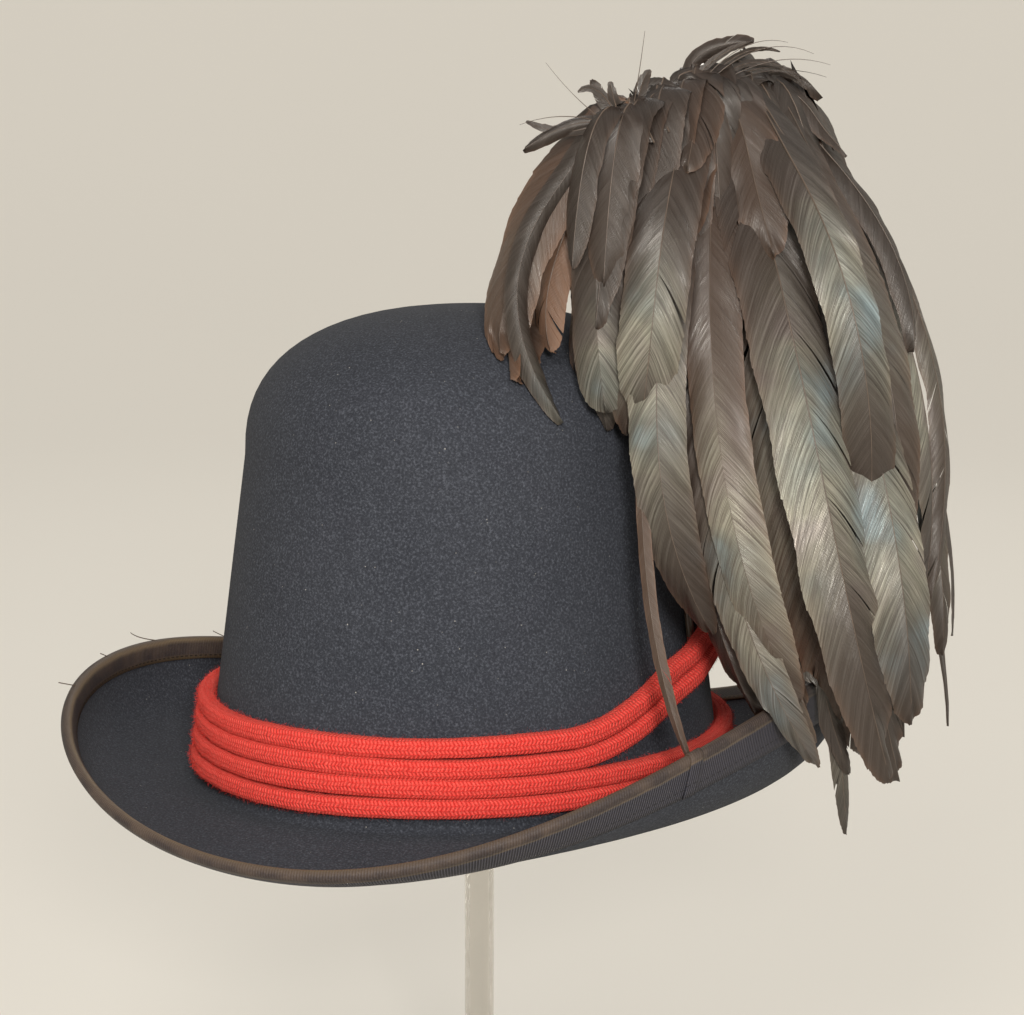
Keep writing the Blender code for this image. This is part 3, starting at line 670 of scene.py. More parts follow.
def make_threads(material):
    """Worn threads that stand out of the ribbon's fold on the wearer's right."""
    rng = random.Random(11)
    points, faces = [], []
    for degrees, reach in ((262, 0.007), (247, 0.004), (243, 0.004), (240, 0.003), (238, 0.005), (236, 0.003),
                           (233, 0.003), (290, 0.006), (276, 0.003), (229, 0.003), (226, 0.002)):
        turn = radians(degrees)
        fold = place_section(turn, [ribbon_line(turn, RIBBON)[7]])[0]
        outward = Vector((sin(turn), -cos(turn), rng.uniform(0.2, 1.0))).normalized()
        aside = outward.cross(UP).normalized()
        tip = fold + outward * reach + aside * rng.gauss(0, reach * 0.5)
        middle = fold.lerp(tip, 0.5) + aside * rng.gauss(0, reach * 0.35)
        faces += grid_faces(9, HAIR_SIDES, loop_columns=True, start=len(points))
        for i in range(9):
            points += ring(quadratic(fold, middle, tip, i / 8), aside, UP, THREAD_RADIUS, HAIR_SIDES)
    mesh_object("worn_threads", points, faces, material, [(0.0, 0.009)] * len(points))


# Cord

def cord_rise(turn):
    foot, top, end = CORD_RISE_DEGREES
    degrees = math.degrees(turn)
    return CORD_RISE * smooth_step((degrees - foot) / (top - foot)) * smooth_step((end - degrees) / (end - top))


def cord_centre(turn, number):
    pitch = 2 * CORD_RADIUS + GAP
    height = CORD_FOOT + number * pitch
    outward = CORD_RADIUS + GAP
    if number >= 2:
        # The upper turns rise over the plume's stem, and keep their pitch where they slope
        step = radians(3.0)
        run = (crown_point(turn + step, 0.0) - crown_point(turn - step, 0.0)).length
        slope = (cord_rise(turn + step) - cord_rise(turn - step)) / run
        height += cord_rise(turn) + (number - 2) * pitch * (math.sqrt(1.0 + slope ** 2) - 1.0)
        away = abs(math.degrees(turn) - 90.0)
        outward += (STEM_THICKNESS + GAP) * smooth_step((15.0 - away) / 9.0)
    # The turns lie by hand: a little higher or lower as they go round
    height += CORD_WAVES[0] * sin(2 * turn + 1.7 * number) + CORD_WAVES[1] * sin(7 * turn + number)
    return crown_point(turn, height, outward) + HAT_ORIGIN


def cord_swell(angle, turn, number):
    """Pressed together, the cord is a little squarer than round, and it swells a little as it goes."""
    power = CORD_SQUARENESS
    square = 1.02 * (abs(cos(angle)) ** power + abs(sin(angle)) ** power) ** (-1.0 / power)
    return square * (1.0 + 0.020 * sin(5 * turn + number) + 0.012 * sin(31 * turn + 2 * number))


def make_cord(number, material):
    turns = [tau * i / CORD_AROUND for i in range(CORD_AROUND)]
    centres = [cord_centre(turn, number) for turn in turns]
    points, uvs, frames = [], [], []
    length = 0.0
    for i in range(CORD_AROUND + 1):
        turn, centre = turns[i % CORD_AROUND], centres[i % CORD_AROUND]
        if i:
            length += (centre - centres[i - 1]).length
        run = (centres[(i + 1) % CORD_AROUND] - centres[i % CORD_AROUND - 1]).normalized()
        up = run.cross(crown_normal(turn)).normalized()
        out = up.cross(run).normalized()
        frames.append((centre, run, out, up))
        for j in range(CORD_SIDES + 1):
            angle = tau * j / CORD_SIDES
            radius = CORD_RADIUS * cord_swell(angle, turn, number)
            points.append(centre + (out * cos(angle) + up * sin(angle)) * radius)
            uvs.append((length, j / CORD_SIDES))
    faces = grid_faces(CORD_AROUND + 1, CORD_SIDES + 1)
    # Loose wool fibres
    rng = random.Random(40 + number)
    for _ in range(CORD_FIBRES):
        centre, run, out, up = frames[rng.randrange(CORD_AROUND)]
        angle = rng.uniform(-pi, pi)
        side = out * cos(angle) + up * sin(angle)
        across = side.cross(run)
        root = centre + side * CORD_RADIUS * 0.96 + run * rng.uniform(-0.0008, 0.0008)
        reach = rng.uniform(0.0007, 0.0024)
        lean = run * rng.gauss(0, 0.8) + across * rng.gauss(0, 0.6) + side * rng.uniform(0.3, 0.9)
        tip = root + lean.normalized() * reach
        middle = root.lerp(tip, 0.5) + side * reach * 0.15
        thin = run.cross(lean).normalized() * FIBRE_THICKNESS
        start = len(points)
        points += [root - thin, root + thin, middle + thin * 0.8, middle - thin * 0.8, tip]
        uvs += [(0.0, 0.0)] * 5
        faces += [(start, start + 1, start + 2, start + 3), (start + 3, start + 2, start + 4)]
    cord = mesh_object(f"wool_cord_{number + 1}", points, faces, material, uvs)
    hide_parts(f"cord_turn_{number + 1}")


# Plume. The main feathers follow the solids' rows, and the left group's widths differ a little: root is a share
# along the head, places are across, forward and height shares, width a share of FEATHER_WIDTH and bend the share
# of the length at the first place. brown goes from black to red-brown, glow is how strong the painted sheen and the
# iridescent patches are, and the last column where along the feather they lie.
FEATHERS = (
    # name, root, bend point, tip, width, bend, brown, glow, where the painted sheen lies
    ("left_curl", 1.00, (-0.66, 0.44, 0.787), (-0.8, 0.47, 0.608), 1.00, 0.48, 0.50, 0.05, 0.6),
    ("left_dark", 1.00, (-0.72, 0.57, 0.71), (-0.57, 0.67, 0.521), 0.40, 0.50, 0.00, 0.14, 0.97),
    ("left_inner", 0.98, (-0.57, 0.41, 0.753), (-0.6, 0.54, 0.609), 0.75, 0.45, 0.85, 0.00, 0.5),
    ("left_round", 0.96, (-0.44, 0.64, 0.724), (-0.41, 0.71, 0.534), 0.98, 0.50, 0.12, 0.50, 0.86),
    ("left_edge", 0.88, (-0.28, 0.51, 0.774), (-0.31, 0.64, 0.552), 0.80, 0.45, 0.30, 0.20, 0.6),
    ("upper_left", 0.80, (-0.24, 0.41, 0.805), (-0.18, 0.57, 0.632), 0.95, 0.45, 0.10, 0.35, 0.8),
    ("upper_mid", 0.62, (-0.2, 0.74, 0.764), (-0.29, 0.82, 0.526), 1.05, 0.45, 0.15, 0.50, 0.75),
    ("thin_front", 0.70, (-0.27, 0.97, 0.352), (-0.11, 1.17, 0.099), 0.22, 0.62, 0.45, 0.00, 0.5),
    ("front_first", 0.56, (-0.24, 0.87, 0.562), (0.0, 0.91, 0.25), 0.95, 0.50, 0.15, 0.45, 0.6),
    ("front_second", 0.52, (-0.1, 0.77, 0.449), (0.15, 0.79, 0.143), 0.80, 0.55, 0.05, 0.00, 0.5),
    ("front_third", 0.48, (-0.03, 0.91, 0.453), (0.37, 1.06, 0.084), 0.75, 0.52, 0.25, 0.35, 0.8),
    ("front_brown", 0.46, (-0.02, 0.97, 0.532), (0.3, 1.01, 0.165), 0.95, 0.48, 0.36, 0.55, 0.72),
    ("centre_large", 0.40, (0.27, 0.81, 0.599), (0.68, 0.69, 0.044), 1.45, 0.42, 0.20, 0.50, 0.55),
    ("centre_upper", 0.34, (0.41, 0.64, 0.756), (0.56, 0.57, 0.336), 0.95, 0.38, 0.15, 0.50, 0.5),
    ("centre_low", 0.40, (0.32, 0.57, 0.283), (0.52, 0.57, 0.047), 0.55, 0.68, 0.05, 0.10, 0.8),
    ("centre_hanging", 0.38, (0.44, 0.57, 0.229), (0.53, 0.47, -0.041), 0.36, 0.70, 0.05, 0.20, 0.8),
    ("right_large", 0.26, (0.56, 0.37, 0.687), (0.65, 0.44, 0.277), 0.95, 0.40, 0.30, 0.20, 0.5),
    ("right_round", 0.28, (0.59, 0.67, 0.485), (0.73, 0.74, 0.125), 1.15, 0.55, 0.15, 0.40, 0.7),
    ("right_outer", 0.16, (0.67, -0.13, 0.759), (0.79, -0.09, 0.595), 0.55, 0.52, 0.10, 0.00, 0.5),
    ("right_middle", 0.12, (0.77, -0.23, 0.622), (0.85, -0.13, 0.239), 0.72, 0.46, 0.20, 0.45, 0.6),
    ("right_tail", 0.08, (0.84, -0.46, 0.478), (0.96, -0.46, 0.16), 0.50, 0.55, 0.20, 0.25, 0.7),
    ("right_wisp", 0.06, (0.91, -0.63, 0.289), (1.01, -0.66, 0.047), 0.20, 0.65, 0.10, 0.00, 0.5),
    ("back_first", 0.10, (0.67, -1.03, 0.748), (0.79, -0.99, 0.362), 1.00, 0.45, 0.20, 0.20, 0.6),
    ("back_second", 0.04, (0.45, -1.39, 0.787), (0.56, -1.46, 0.449), 1.00, 0.45, 0.25, 0.20, 0.7),
    ("back_third", 0.30, (0.62, -0.33, 0.565), (0.76, -0.26, 0.155), 1.10, 0.50, 0.10, 0.30, 0.7),
    ("back_fourth", 0.60, (0.04, -1.03, 0.804), (0.08, -1.23, 0.558), 0.90, 0.45, 0.25, 0.20, 0.6),
    ("side_first", 0.46, (0.19, 0.17, 0.736), (0.31, 0.27, 0.284), 1.30, 0.48, 0.10, 0.25, 0.7),
    ("side_second", 0.36, (0.41, -0.26, 0.744), (0.56, -0.16, 0.195), 1.40, 0.48, 0.15, 0.35, 0.6),
    ("side_third", 0.22, (0.54, -0.69, 0.745), (0.69, -0.66, 0.216), 1.30, 0.48, 0.20, 0.35, 0.7),
    ("side_fourth", 0.13, (0.47, -1.09, 0.754), (0.61, -1.13, 0.298), 1.20, 0.48, 0.15, 0.30, 0.6),
    ("tuft_knot", 1.00, (-0.52, 0.47, 0.903), (-0.71, 0.51, 0.87), 0.22, 0.50, 0.10, 0.00, 0.5),
    ("tuft_curl", 0.97, (-0.42, 0.44, 0.936), (-0.47, 0.44, 0.959), 0.20, 0.50, 0.10, 0.00, 0.5),
    ("tuft_top", 0.62, (-0.05, 0.04, 0.988), (0.14, 0.07, 1.009), 0.26, 0.45, 0.15, 0.00, 0.5),
    ("tuft_back", 0.30, (0.3, -0.36, 0.967), (0.45, -0.43, 0.935), 0.26, 0.50, 0.15, 0.00, 0.5),
)
COVERED_WIDTH = 0.5       # narrower feathers have none behind or over them
DOUBLED_WIDTH = 0.9       # wider ones have two behind them
HEAD = ((0.34, -0.49, 0.921), (0.01, -0.03, 0.946), (-0.37, 0.42, 0.898))
# How single feathers differ from the rest
HABITS = {
    "left_curl": {"cup": 0.22, "point": 0.86, "splits": 0.6, "quill": 0.6, "twist": (0.0, -0.25)},
    "left_dark": {"cup": 0.60, "quill": 0.4, "splits": 0.5, "twist": (0.2, 1.0)},
    "left_round": {"cup": 0.28, "point": 0.90, "splits": 0.0, "quill": 0.25, "twist": (0.0, 0.1)},
    "left_edge": {"quill": 0.5, "splits": 1.0},
    "tuft_knot": {"cup": 0.9, "splits": 0.0},
    "tuft_top": {"cup": 0.8, "splits": 4.0, "ragged": 0.05, "quill": 0.5},
    "tuft_back": {"cup": 0.8, "splits": 4.0, "ragged": 0.05, "quill": 0.5},
    "front_brown": {"splits": 1.0, "quill": 0.6},
    "centre_large": {"splits": 2.0, "point": 0.66},
}
SADDLES = 26
# Curls and tufts that stand out of the knot and the top
TUFTS = (
    # share along the head, across, forward, rise, width, curl
    (1.00, -0.028, 0.004, -0.002, 0.0030, -0.004),
    (1.00, -0.012, 0.004, 0.007, 0.0026, 0.004),
    (0.97, -0.004, 0.004, 0.009, 0.0030, -0.003),
    (0.90, 0.004, 0.002, 0.010, 0.0035, 0.002),
    (0.62, 0.018, 0.001, 0.012, 0.0020, 0.002),
    (0.52, 0.022, 0.002, 0.008, 0.0020, 0.004),
    (0.46, 0.020, 0.000, 0.003, 0.0020, 0.003),
    (0.36, 0.020, 0.002, 0.000, 0.0022, 0.003),
    (0.24, 0.016, 0.002, -0.003, 0.0022, 0.004),
)
HAIRS = (
    # share along the head, across, forward, rise, bow
    (0.93, 0.004, 0.004, 0.027, -0.0020),
    (1.00, -0.022, 0.006, 0.020, -0.0020),
    (0.62, 0.030, 0.002, 0.016, 0.0060),
    (0.58, 0.036, 0.002, 0.012, 0.0070),
    (0.52, 0.038, 0.002, 0.008, 0.0050),
    (0.50, 0.036, 0.000, 0.004, 0.0040),
    (1.00, -0.030, 0.006, 0.001, 0.0030),
)
PLUME_ACROSS = Vector((cos(radians(PLUME_TURN_DEGREES)), sin(radians(PLUME_TURN_DEGREES)), 0.0))
PLUME_FORWARD = Vector((sin(radians(PLUME_TURN_DEGREES)), -cos(radians(PLUME_TURN_DEGREES)), 0.0))


def plume_place(shares):
    foot = HAT_ORIGIN + Vector((CROWN_HALF_WIDTH, 0.0, 0.0))
    place = foot + PLUME_ACROSS * (shares[0] * PLUME_SPREAD) + PLUME_FORWARD * (shares[1] * PLUME_DEPTH)
    place.z += shares[2] * PLUME_HEIGHT
    return place


def head_place(share):
    return quadratic(*[plume_place(shares) for shares in HEAD], share)


def off_the_hat(place, clearance):
    """The place itself, or the nearest one that is clear of the crown, the cord and the brim's edge."""
    local = place - HAT_ORIGIN
    cord_top = CORD_FOOT + 7 * CORD_RADIUS + CORD_RISE
    over_cord = 2 * CORD_RADIUS + STEM_THICKNESS + 2 * GAP
    extra = clearance + over_cord * smooth_step(1.8 - (local.z - clearance) / cord_top)
    share = crown_share(max(local.z - clearance, 0.0))
    if local.z < CROWN_HEIGHT + clearance:
        reach = math.hypot(local.x / (CROWN_HALF_WIDTH * share + extra), local.y / (CROWN_HALF_LENGTH * share + extra))
        if reach < 1.0:
            local.x /= reach
            local.y /= reach
    edge = brim_edge(math.atan2(local.x / BRIM_LEFT, -local.y / BRIM_HALF_LENGTH))
    edge_reach = math.hypot(edge.x, edge.y)
    reach = math.hypot(local.x, local.y)
    layer = GAP + RIBBON + FELT + clearance
    outside = edge_reach + layer + 0.15 * RIBBON_OUTSIDE
    if local.z < edge.z + layer and edge_reach - 2 * FELT < reach < outside:
        local.x *= outside / reach
        local.y *= outside / reach
    return local + HAT_ORIGIN


def vane_share(share, point):
    """Half-width of a feather along its length, 1 at its widest; the tip rounds off beyond point."""
    if share >= 1.0:
        return 0.0
    rise = min(1.0, (0.004 + share) / 0.22) ** 0.8
    tip = 1.0 if share < point else math.sqrt(1.0 - ((share - point) / (1.0 - point)) ** 2)
    return rise * tip * (1.06 - 0.12 * share)


class Vanes:
    """Points, faces and texture values of several feathers that are made into one mesh."""

    def __init__(self):
        self.points, self.faces, self.uvs, self.tones = [], [], [], []

    def add_point(self, place, uv, tone):
        self.points.append(place)
        self.uvs.append(uv)
        self.tones.append(tone)

    def tube(self, rings):
        """A fine open tube through rings of as many points each."""
        self.faces += grid_faces(len(rings), len(rings[0]), loop_columns=True, start=len(self.points))
        self.points += [point for one in rings for point in one]


def even_places(line, count):
    """Places at even distances along a line."""
    marks = [0.0]
    for a, b in zip(line, line[1:]):
        marks.append(marks[-1] + (b - a).length)
    places = []
    k = 0
    for i in range(count + 1):
        along = marks[-1] * i / count
        while k < len(line) - 2 and marks[k + 1] < along:
            k += 1
        places.append(line[k].lerp(line[k + 1], (along - marks[k]) / (marks[k + 1] - marks[k])))
    return places


def barb_reach(start, lean, length, half_width, point):
    """How long a barb is that starts along the quill and ends at the feather's outline."""
    reach = 0.0
    while reach * sin(lean) < half_width * vane_share((start + reach * cos(lean)) / length, point):
        reach += REACH_STEP
    return reach


def feather(vanes, quills, line, facing, width, rng, brown=0.2, glow=0.0, painted_sheen_at=0.5, splits=2.4, ragged=0.010,
            cup=None, point=None, arch=0.01, twist=None, quill=1.0):
    """One feather along a line of places: a quill and, on each side, a vane of barbs that sweep to the tip.

    arch is the share of its length where it bends over the head."""
    length = sum((b - a).length for a, b in zip(line, line[1:]))
    count = max(14, int(length / BARB_STEP))
    places = even_places(line, count)
    twist = twist or (rng.gauss(0, 0.12), rng.gauss(0, 0.28))
    level = facing.cross(UP).normalized()
    frames = []
    for i, place in enumerate(places):
        run = (places[min(i + 3, count)] - places[max(i - 3, 0)]).normalized()
        side = level.lerp(run.cross(facing).normalized(), smooth_step(i / count / arch))
        side = (side - run * side.dot(run)).normalized()
        top = side.cross(run).normalized()
        turned_by = mix(*twist, i / count)
        frames.append((place, side * cos(turned_by) + top * sin(turned_by),
                       top * cos(turned_by) - side * sin(turned_by)))

    def frame_at(where):
        """Place, side and top at a division that needn't be whole; past the tip they go straight on."""
        near = min(int(where), count - 1)
        first, second = frames[near], frames[near + 1]
        share = min(where - near, 1.0)
        return (first[0].lerp(second[0], where - near), first[1].lerp(second[1], share),
                first[2].lerp(second[2], share))

    phase = rng.uniform(0.0, 0.05)
    point = point or rng.uniform(0.70, 0.84)
    for sign in (-1.0, 1.0):
        half_width = 0.5 * width * rng.uniform(0.88, 1.10)
        roof = rng.uniform(0.02, 0.22)
        bend = cup if cup is not None else rng.uniform(0.10, 0.34)
        number = int(rng.expovariate(1.0 / splits)) if splits else 0
        cuts = sorted({int(rng.uniform(0.12, 0.95) * count) for _ in range(number)} - {0, 1, count})
        bounds = [0] + cuts + [count]
        opens = [0.0] + [rng.uniform(*SLIT_OPEN) for _ in cuts] + [0.0]
        waves = [(rng.uniform(*WAVE_LENGTHS), rng.uniform(0, tau), rng.uniform(0.3, 1.0)) for _ in range(3)]
        side_glow = rng.uniform(0.45, 1.0)
        for group, (low, high) in enumerate(zip(bounds, bounds[1:])):
            start = len(vanes.points)
            for j in range(low, high + 1):
                share = j / count
                lean = mix(BARB_LEANS[0], BARB_LEANS[1], smooth_step(share / 0.3))
                lean = mix(lean, BARB_LEANS[2], smooth_step((share - 0.72) / 0.28))
                # The barbs beside a slit lean away from it
                lean -= opens[group] * math.exp((low - j) * BARB_STEP / SLIT_LENGTH)
                lean += opens[group + 1] * math.exp((j - high) * BARB_STEP / SLIT_LENGTH)
                reach = barb_reach(share * length, max(lean, BARB_LEAST_LEAN), length, half_width, point)
                reach *= 1.0 + rng.gauss(0, ragged)
                ripple = sum(weight * sin(tau * share * length / wave_length + turn)
                             for wave_length, turn, weight in waves)
                # The painted sheen along the feather, brightest at its given place
                shine = glow * side_glow * math.exp(-((share - painted_sheen_at) / SHEEN_SHARE) ** 2)
                for k in range(BARB_POINTS + 1):
                    t = k / BARB_POINTS
                    ahead = reach * (t * cos(lean) - 0.12 * t * (1.0 - t))
                    aside = reach * (t * sin(lean) + 0.10 * t * (1.0 - t))
                    lift = 0.034 * width * ripple * t ** 1.3 - bend * half_width * t * t - roof * aside
                    place, side, top = frame_at(j + ahead / length * count)
                    spot = place + side * (sign * aside) + top * lift
                    vanes.add_point(off_the_hat(spot, 0.0012), (sign * aside, phase + share * length),
                                    (min(1.0, brown + 0.30 * t ** 6) * smooth_step(share / 0.3), shine))
            for face in grid_faces(high - low + 1, BARB_POINTS + 1, start=start):
                vanes.faces.append(face if sign > 0 else face[::-1])
    rings = []
    for i in range(QUILL_STEPS + 1):
        place, side, top = frames[int(round(i / QUILL_STEPS * count * 0.97))]
        thick = quill * mix(0.00040, 0.00010, (i / QUILL_STEPS) ** 0.7) * (0.6 + 0.4 * min(1.0, width / FEATHER_WIDTH))
        rings.append(ring(place + top * thick * 0.3, side, top, thick, QUILL_SIDES))
    quills.tube(rings)


def over_head(root, facing, crest):
    """The first places of a feather's line, from behind the head up to its crest."""
    return [root - facing * 0.0060 - UP * 0.0020, root - facing * 0.0048 + UP * (0.65 * crest),
            root - facing * 0.0022 + UP * (0.95 * crest)]


def feather_line(root, middle, tip, bend, rng, facing):
    sway_side, sway_turn = rng.gauss(0, 0.0015), rng.uniform(0, tau)
    crest = rng.uniform(0.0045, 0.0070)
    sway = (PLUME_ACROSS * cos(sway_turn) + PLUME_FORWARD * 0.4) * sway_side
    line = over_head(root, facing, crest)
    for i in range(LINE_STEPS + 1):
        share = i / LINE_STEPS
        place = quadratic(root, middle, tip, share, bend)
        place += UP * (crest * (1.0 - smooth_step(share / 0.20))) + sway * sin(tau * 0.8 * share)
        line.append(off_the_hat(place, FEATHER_CLEARANCE))
    return line


def facing_of(bend_point):
    across, forward = bend_point[0] * PLUME_SPREAD, (bend_point[1] + FACING_BEHIND_SHARE) * PLUME_DEPTH
    angle = FACING_SHARE * math.atan2(across, forward)
    return PLUME_ACROSS * sin(angle) + PLUME_FORWARD * cos(angle)


def make_plume(vane_material, stem_material):
    groups = {}
    quills = Vanes()
    for number, (name, root, bend_point, tip, width, bend, brown, glow, painted_sheen_at) in enumerate(FEATHERS):
        vanes = groups.setdefault(name.split("_")[0], Vanes())
        rng = random.Random(100 + number)
        facing = facing_of(bend_point)
        line = feather_line(head_place(root), plume_place(bend_point), plume_place(tip), bend, rng, facing)
        feather(vanes, quills, line, facing, width * FEATHER_WIDTH, rng, brown, glow, painted_sheen_at, arch=0.25,
                **HABITS.get(name, {}))
        if width < COVERED_WIDTH:
            continue
        # Further feathers of the same form lie close behind it
        for _ in range(2 if width > DOUBLED_WIDTH else 1):
            shift = (rng.uniform(-0.07, 0.07), rng.uniform(-0.22, -0.10), rng.uniform(-0.03, 0.02))
            near = tuple(a + b for a, b in zip(bend_point, shift))
            end = tuple(a + b * 1.2 for a, b in zip(tip, shift))
            line = feather_line(head_place(clamp(root + rng.uniform(-0.05, 0.05))), plume_place(near),
                                plume_place(end), bend, rng, facing)
            feather(vanes, quills, line, facing_of(near), width * FEATHER_WIDTH * rng.uniform(0.70, 0.92), rng,
                    clamp(brown + rng.uniform(-0.1, 0.25)), glow * 0.4, painted_sheen_at, arch=0.25)
    for name, vanes in groups.items():
        mesh_object(f"plume_{name}", vanes.points, vanes.faces, vane_material, vanes.uvs, vanes.tones)
    mesh_object("plume_quills", quills.points, quills.faces, stem_material)


def make_plume_head(vane_material, stem_material):
    """The bound roots: short feathers laid over the head on both sides, curls and stray hairs."""
    vanes, quills = Vanes(), Vanes()
    rng = random.Random(7)
    for _, root, bend_point, tip, width, bend, brown, *_ in FEATHERS:
        if width < COVERED_WIDTH:
            continue
        # A short pointed feather over the upper part of each long one
        facing = facing_of(bend_point)
        first = head_place(clamp(root + rng.uniform(-0.06, 0.06))) + UP * rng.uniform(0.001, 0.004)
        shift = PLUME_ACROSS * rng.gauss(0, 0.003) + facing * rng.uniform(0.001, 0.003)
        reach = rng.uniform(0.14, 0.27)
        crest = rng.uniform(0.0040, 0.0060)
        line = over_head(first, facing, crest)
        for i in range(15):
            place = quadratic(first, plume_place(bend_point), plume_place(tip), i / 14 * reach, bend)
            place += shift * smooth_step(i / 6) + UP * crest * (1.0 - smooth_step(i / 10))
            line.append(off_the_hat(place, FEATHER_CLEARANCE))
        feather(vanes, quills, line, facing, width * FEATHER_WIDTH * rng.uniform(0.6, 0.85), rng,
                clamp(brown + rng.uniform(-0.15, 0.15)), splits=1.5, point=rng.uniform(0.40, 0.60), arch=0.6)
    for number in range(SADDLES):
        # Saddle feathers start behind the head, lie over its top and end in front of it
        share = (number + rng.uniform(0.1, 0.9)) / SADDLES
        fan = mix(1.3, -1.0, share) + rng.gauss(0, 0.15)
        front = 1.0 if rng.random() < 0.75 else -1.0
        ahead = (PLUME_FORWARD * front + PLUME_ACROSS * fan).normalized()
        centre = head_place(share)
        reach = rng.uniform(0.045, 0.085)
        crest = centre + UP * rng.uniform(0.0030, 0.0060) + ahead * 0.001
        back_end = centre - ahead * 0.012 - UP * 0.007
        end = centre + ahead * (0.34 * reach + 0.003) - UP * reach * 0.85
        line = [quadratic(back_end, crest, end, i / 16, 0.28) for i in range(17)]
        feather(vanes, quills, line, ahead, rng.uniform(0.011, 0.018), rng, rng.uniform(0.0, 0.30), splits=1.0,
                point=rng.uniform(0.45, 0.70), arch=0.5)
    for share, aside, ahead, rise, width, curl in TUFTS:
        root = head_place(share) + UP * 0.004
        tip = root + PLUME_ACROSS * aside + PLUME_FORWARD * ahead + UP * rise
        middle = root.lerp(tip, 0.5) + UP * curl
        line = [quadratic(root, middle, tip, i / 12) for i in range(13)]
        feather(vanes, quills, line, PLUME_FORWARD, width, rng, 0.10, splits=0.0, ragged=0.03, cup=0.15, point=0.40)
    for share, aside, ahead, rise, bow in HAIRS:
        root = head_place(share)
        tip = root + PLUME_ACROSS * aside + PLUME_FORWARD * ahead + UP * rise
        middle = root.lerp(tip, 0.5) + UP * bow
        quills.tube([ring(quadratic(root, middle, tip, i / 12), PLUME_ACROSS, UP, mix(0.00022, 0.00006, i / 12),
                          HAIR_SIDES) for i in range(13)])
    mesh_object("plume_knot", vanes.points, vanes.faces, vane_material, vanes.uvs, vanes.tones)
    mesh_object("plume_knot_quills", quills.points, quills.faces, stem_material)


def make_stem(material):
    """The bound core under the roots and the flat stem down to the cord."""
    points = []
    rows, sides = 25, 12
    for i in range(rows):
        share = i / (rows - 1)
        run = (head_place(min(share + 0.05, 1.0)) - head_place(max(share - 0.05, 0.0))).normalized()
        side = run.cross(UP).normalized()
        top = side.cross(run)
        radius = HEAD_RADIUS * 0.6 * math.sqrt(max(0.10, 1.0 - (2.0 * share - 1.0) ** 4))
        for j in range(sides):
            angle = tau * j / sides
            rough = 1.0 + 0.10 * sin(9 * share * tau + 2 * angle)
            points.append(head_place(share) + (side * cos(angle) + top * sin(angle)) * radius * rough)
    faces = capped_tube(rows, sides)
    places = [crown_point(pi / 2, mix(STEM_FOOT, SHOULDER_START, i / 12), GAP + 0.5 * STEM_THICKNESS) + HAT_ORIGIN
              for i in range(13)]
    first, top_end = places[-1], head_place(STEM_TOP_SHARE)
    middle = first.lerp(top_end, 0.5) + Vector((STEM_BOW, 0.0, 0.0))
    places += [quadratic(first, middle, top_end, i / 12) for i in range(1, 13)]
    around = 8
    faces += capped_tube(len(places), around, len(points))
    for i, place in enumerate(places):
        run = (places[min(i + 1, len(places) - 1)] - places[max(i - 1, 0)]).normalized()
        side = run.cross(Vector((1.0, 0.0, 0.0))).normalized()
        out = run.cross(side).normalized()
        points += ring(place, side * STEM_HALF_WIDTH, out * STEM_THICKNESS / 2, 1.0, around)
    stem = mesh_object("plume_stem", points, faces, material)
    recalculate(stem)
    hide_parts("plume")


# Stand

def rounded(radius, low, high, edge, steps=6):
    """Profile of a disc or a rod with rounded edges."""
    turns = [pi / 2 * i / steps for i in range(steps + 1)]
    profile = [(radius - edge + edge * sin(turn), low + edge - edge * cos(turn)) for turn in turns]
    return profile + [(radius - edge + edge * cos(turn), high - edge + edge * sin(turn)) for turn in turns]


def turned_points(profile, sides):
    return [point for radius, height in profile
            for point in ring(UP * height, Vector((1.0, 0.0, 0.0)), Vector((0.0, 1.0, 0.0)), radius, sides)]


def turned(name, profile, sides, material, node):
    thing = mesh_object(name, turned_points(profile, sides), capped_tube(len(profile), sides), material)
    recalculate(thing)
    thing.data.set_sharp_from_angle(angle=radians(35))
    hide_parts(node)


def cap_height(radius):
    ceiling = crown_ceiling(radius + abs(HAT_ORIGIN.x))
    return HAT_ORIGIN.z + ceiling - CEILING_SHARE * FELT - GAP


def make_stand(material):
    turned("clear_base", rounded(BASE_RADIUS, 0.0, BASE_THICKNESS, BASE_EDGE), 96, material, "stand_base")
    foot = cap_height(CAP_RADIUS) - CAP_THICKNESS
    profile = rounded(CAP_RADIUS, foot, foot + CAP_RIM, CAP_EDGE, 4)[:5]
    shares = [tenths / 10 for tenths in range(10, 0, -1)] + [0.02]
    profile += [(CAP_RADIUS * share, cap_height(CAP_RADIUS * share)) for share in shares]
    turned("clear_cap", profile, 64, material, "stand_cap")
    turned("clear_post", rounded(POST_RADIUS, BASE_THICKNESS + GAP, foot - GAP, POST_EDGE, 3), 48, material,
           "stand_post")


# Floor, light and camera

LIGHTS = (
    # name, turn, rise, distance, size, watts, colour, height of its aim over the hat's foot
    ("key", 12.0, 32.0, 1.6, 0.45, 11.0, (1.0, 0.975, 0.94), 0.05),
    ("front", 27.0, 15.0, 1.9, 0.28, 31.0, (1.0, 0.985, 0.96), 0.05),
    ("side", 100.0, 24.0, 1.9, 0.9, 3.0, (0.94, 0.97, 1.0), 0.05),
    ("rear", 195.0, 34.0, 2.0, 0.8, 4.0, (1.0, 0.98, 0.95), 0.05),
    ("ceiling", 0.0, 89.0, 2.4, 3.0, 8.0, (1.0, 0.985, 0.955), 0.0),
)


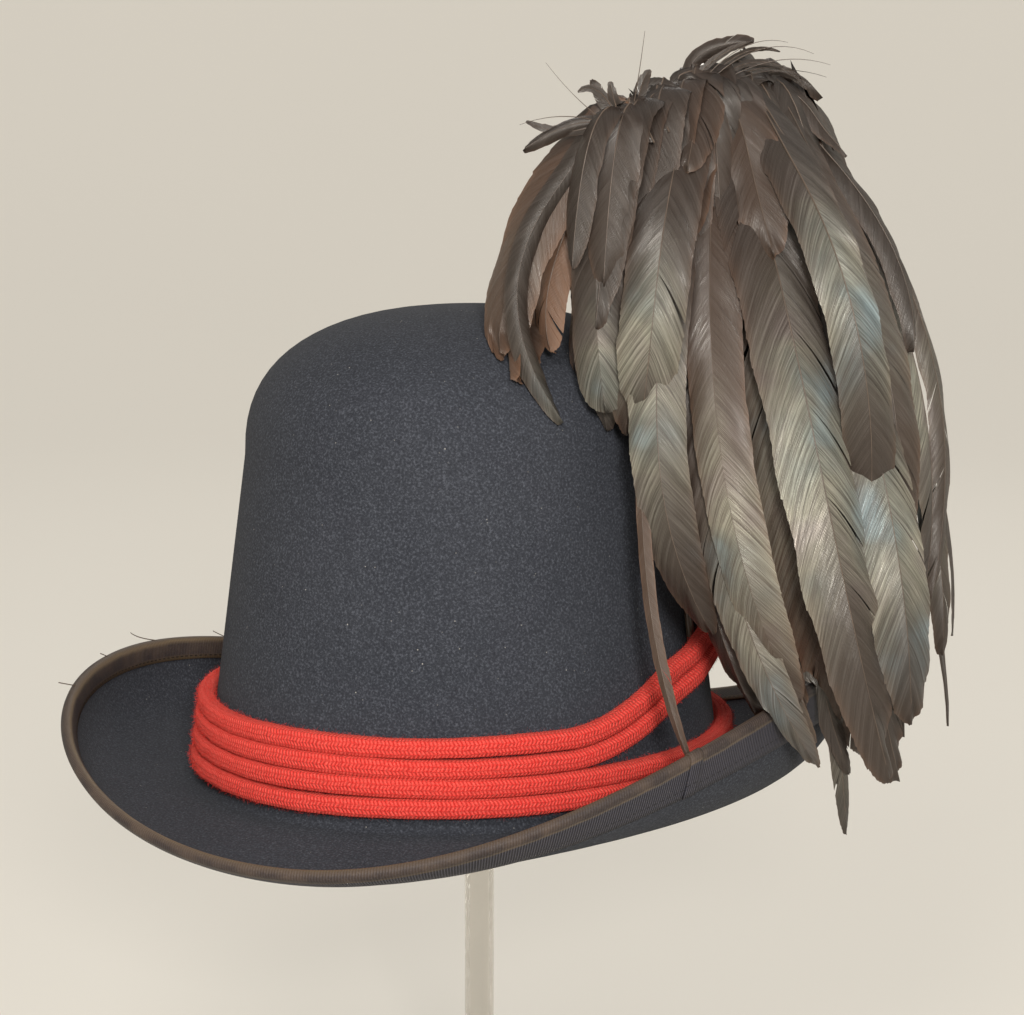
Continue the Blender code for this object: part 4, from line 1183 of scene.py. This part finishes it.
def make_floor():
    """A round pale floor that curves up into a low wall on all sides."""
    sides, steps = 72, 14
    radius, height, bend = 3.2, 2.4, 1.1
    profile = [(0.4, 0.0), (radius - bend, 0.0)]
    for i in range(1, steps + 1):
        angle = pi / 2 * i / steps
        profile.append((radius - bend + bend * sin(angle), bend - bend * cos(angle)))
    profile.append((radius, height))
    faces = grid_faces(len(profile), sides, loop_columns=True) + [tuple(range(sides))]
    floor = new_object("pale_floor", turned_points(profile, sides), faces, floor_material())
    recalculate(floor)


def aim_at(name, data, turn, rise, distance, aim_height):
    """A light or a camera that looks at a height over the hat's foot, from a turn and a rise round it."""
    back = direction(turn, rise)
    thing = bpy.data.objects.new(name, data)
    thing.location = HAT_ORIGIN + UP * aim_height + back * distance
    thing.rotation_euler = back.to_track_quat("Z", "Y").to_euler()
    bpy.context.collection.objects.link(thing)
    return thing


def make_lights():
    for name, turn, rise, distance, size, watts, colour, aim_height in LIGHTS:
        data = bpy.data.lights.new(name, "AREA")
        data.shape = "DISK"
        data.size = size
        data.energy = watts
        data.color = colour
        aim_at(name, data, turn, rise, distance, aim_height)
    world = bpy.data.worlds.new("soft room")
    world.use_nodes = True
    world.node_tree.nodes["Background"].inputs["Color"].default_value = (1.0, 0.985, 0.96, 1.0)
    world.node_tree.nodes["Background"].inputs["Strength"].default_value = 0.30
    bpy.context.scene.world = world
    bpy.context.scene.view_settings.view_transform = "Standard"


def make_camera():
    data = bpy.data.cameras.new("camera")
    data.lens = CAMERA_LENS
    data.sensor_width = 36.0
    data.shift_x, data.shift_y = CAMERA_SHIFT
    bpy.context.scene.camera = aim_at("camera", data, CAMERA_TURN, CAMERA_RISE, CAMERA_DISTANCE, CAMERA_AIM)


def main():
    make_camera()
    make_floor()
    make_lights()
    feather_look = feather_material()
    quill_look = quill_material()
    ribbon_look = ribbon_material()
    cord_look = cord_material()
    make_stand(acrylic_material())
    make_felt(felt_material())
    make_binding(ribbon_look)
    make_threads(ribbon_look)
    for number in range(4):
        make_cord(number, cord_look)
    make_stem(quill_look)
    make_plume(feather_look, quill_look)
    make_plume_head(feather_look, quill_look)


main()
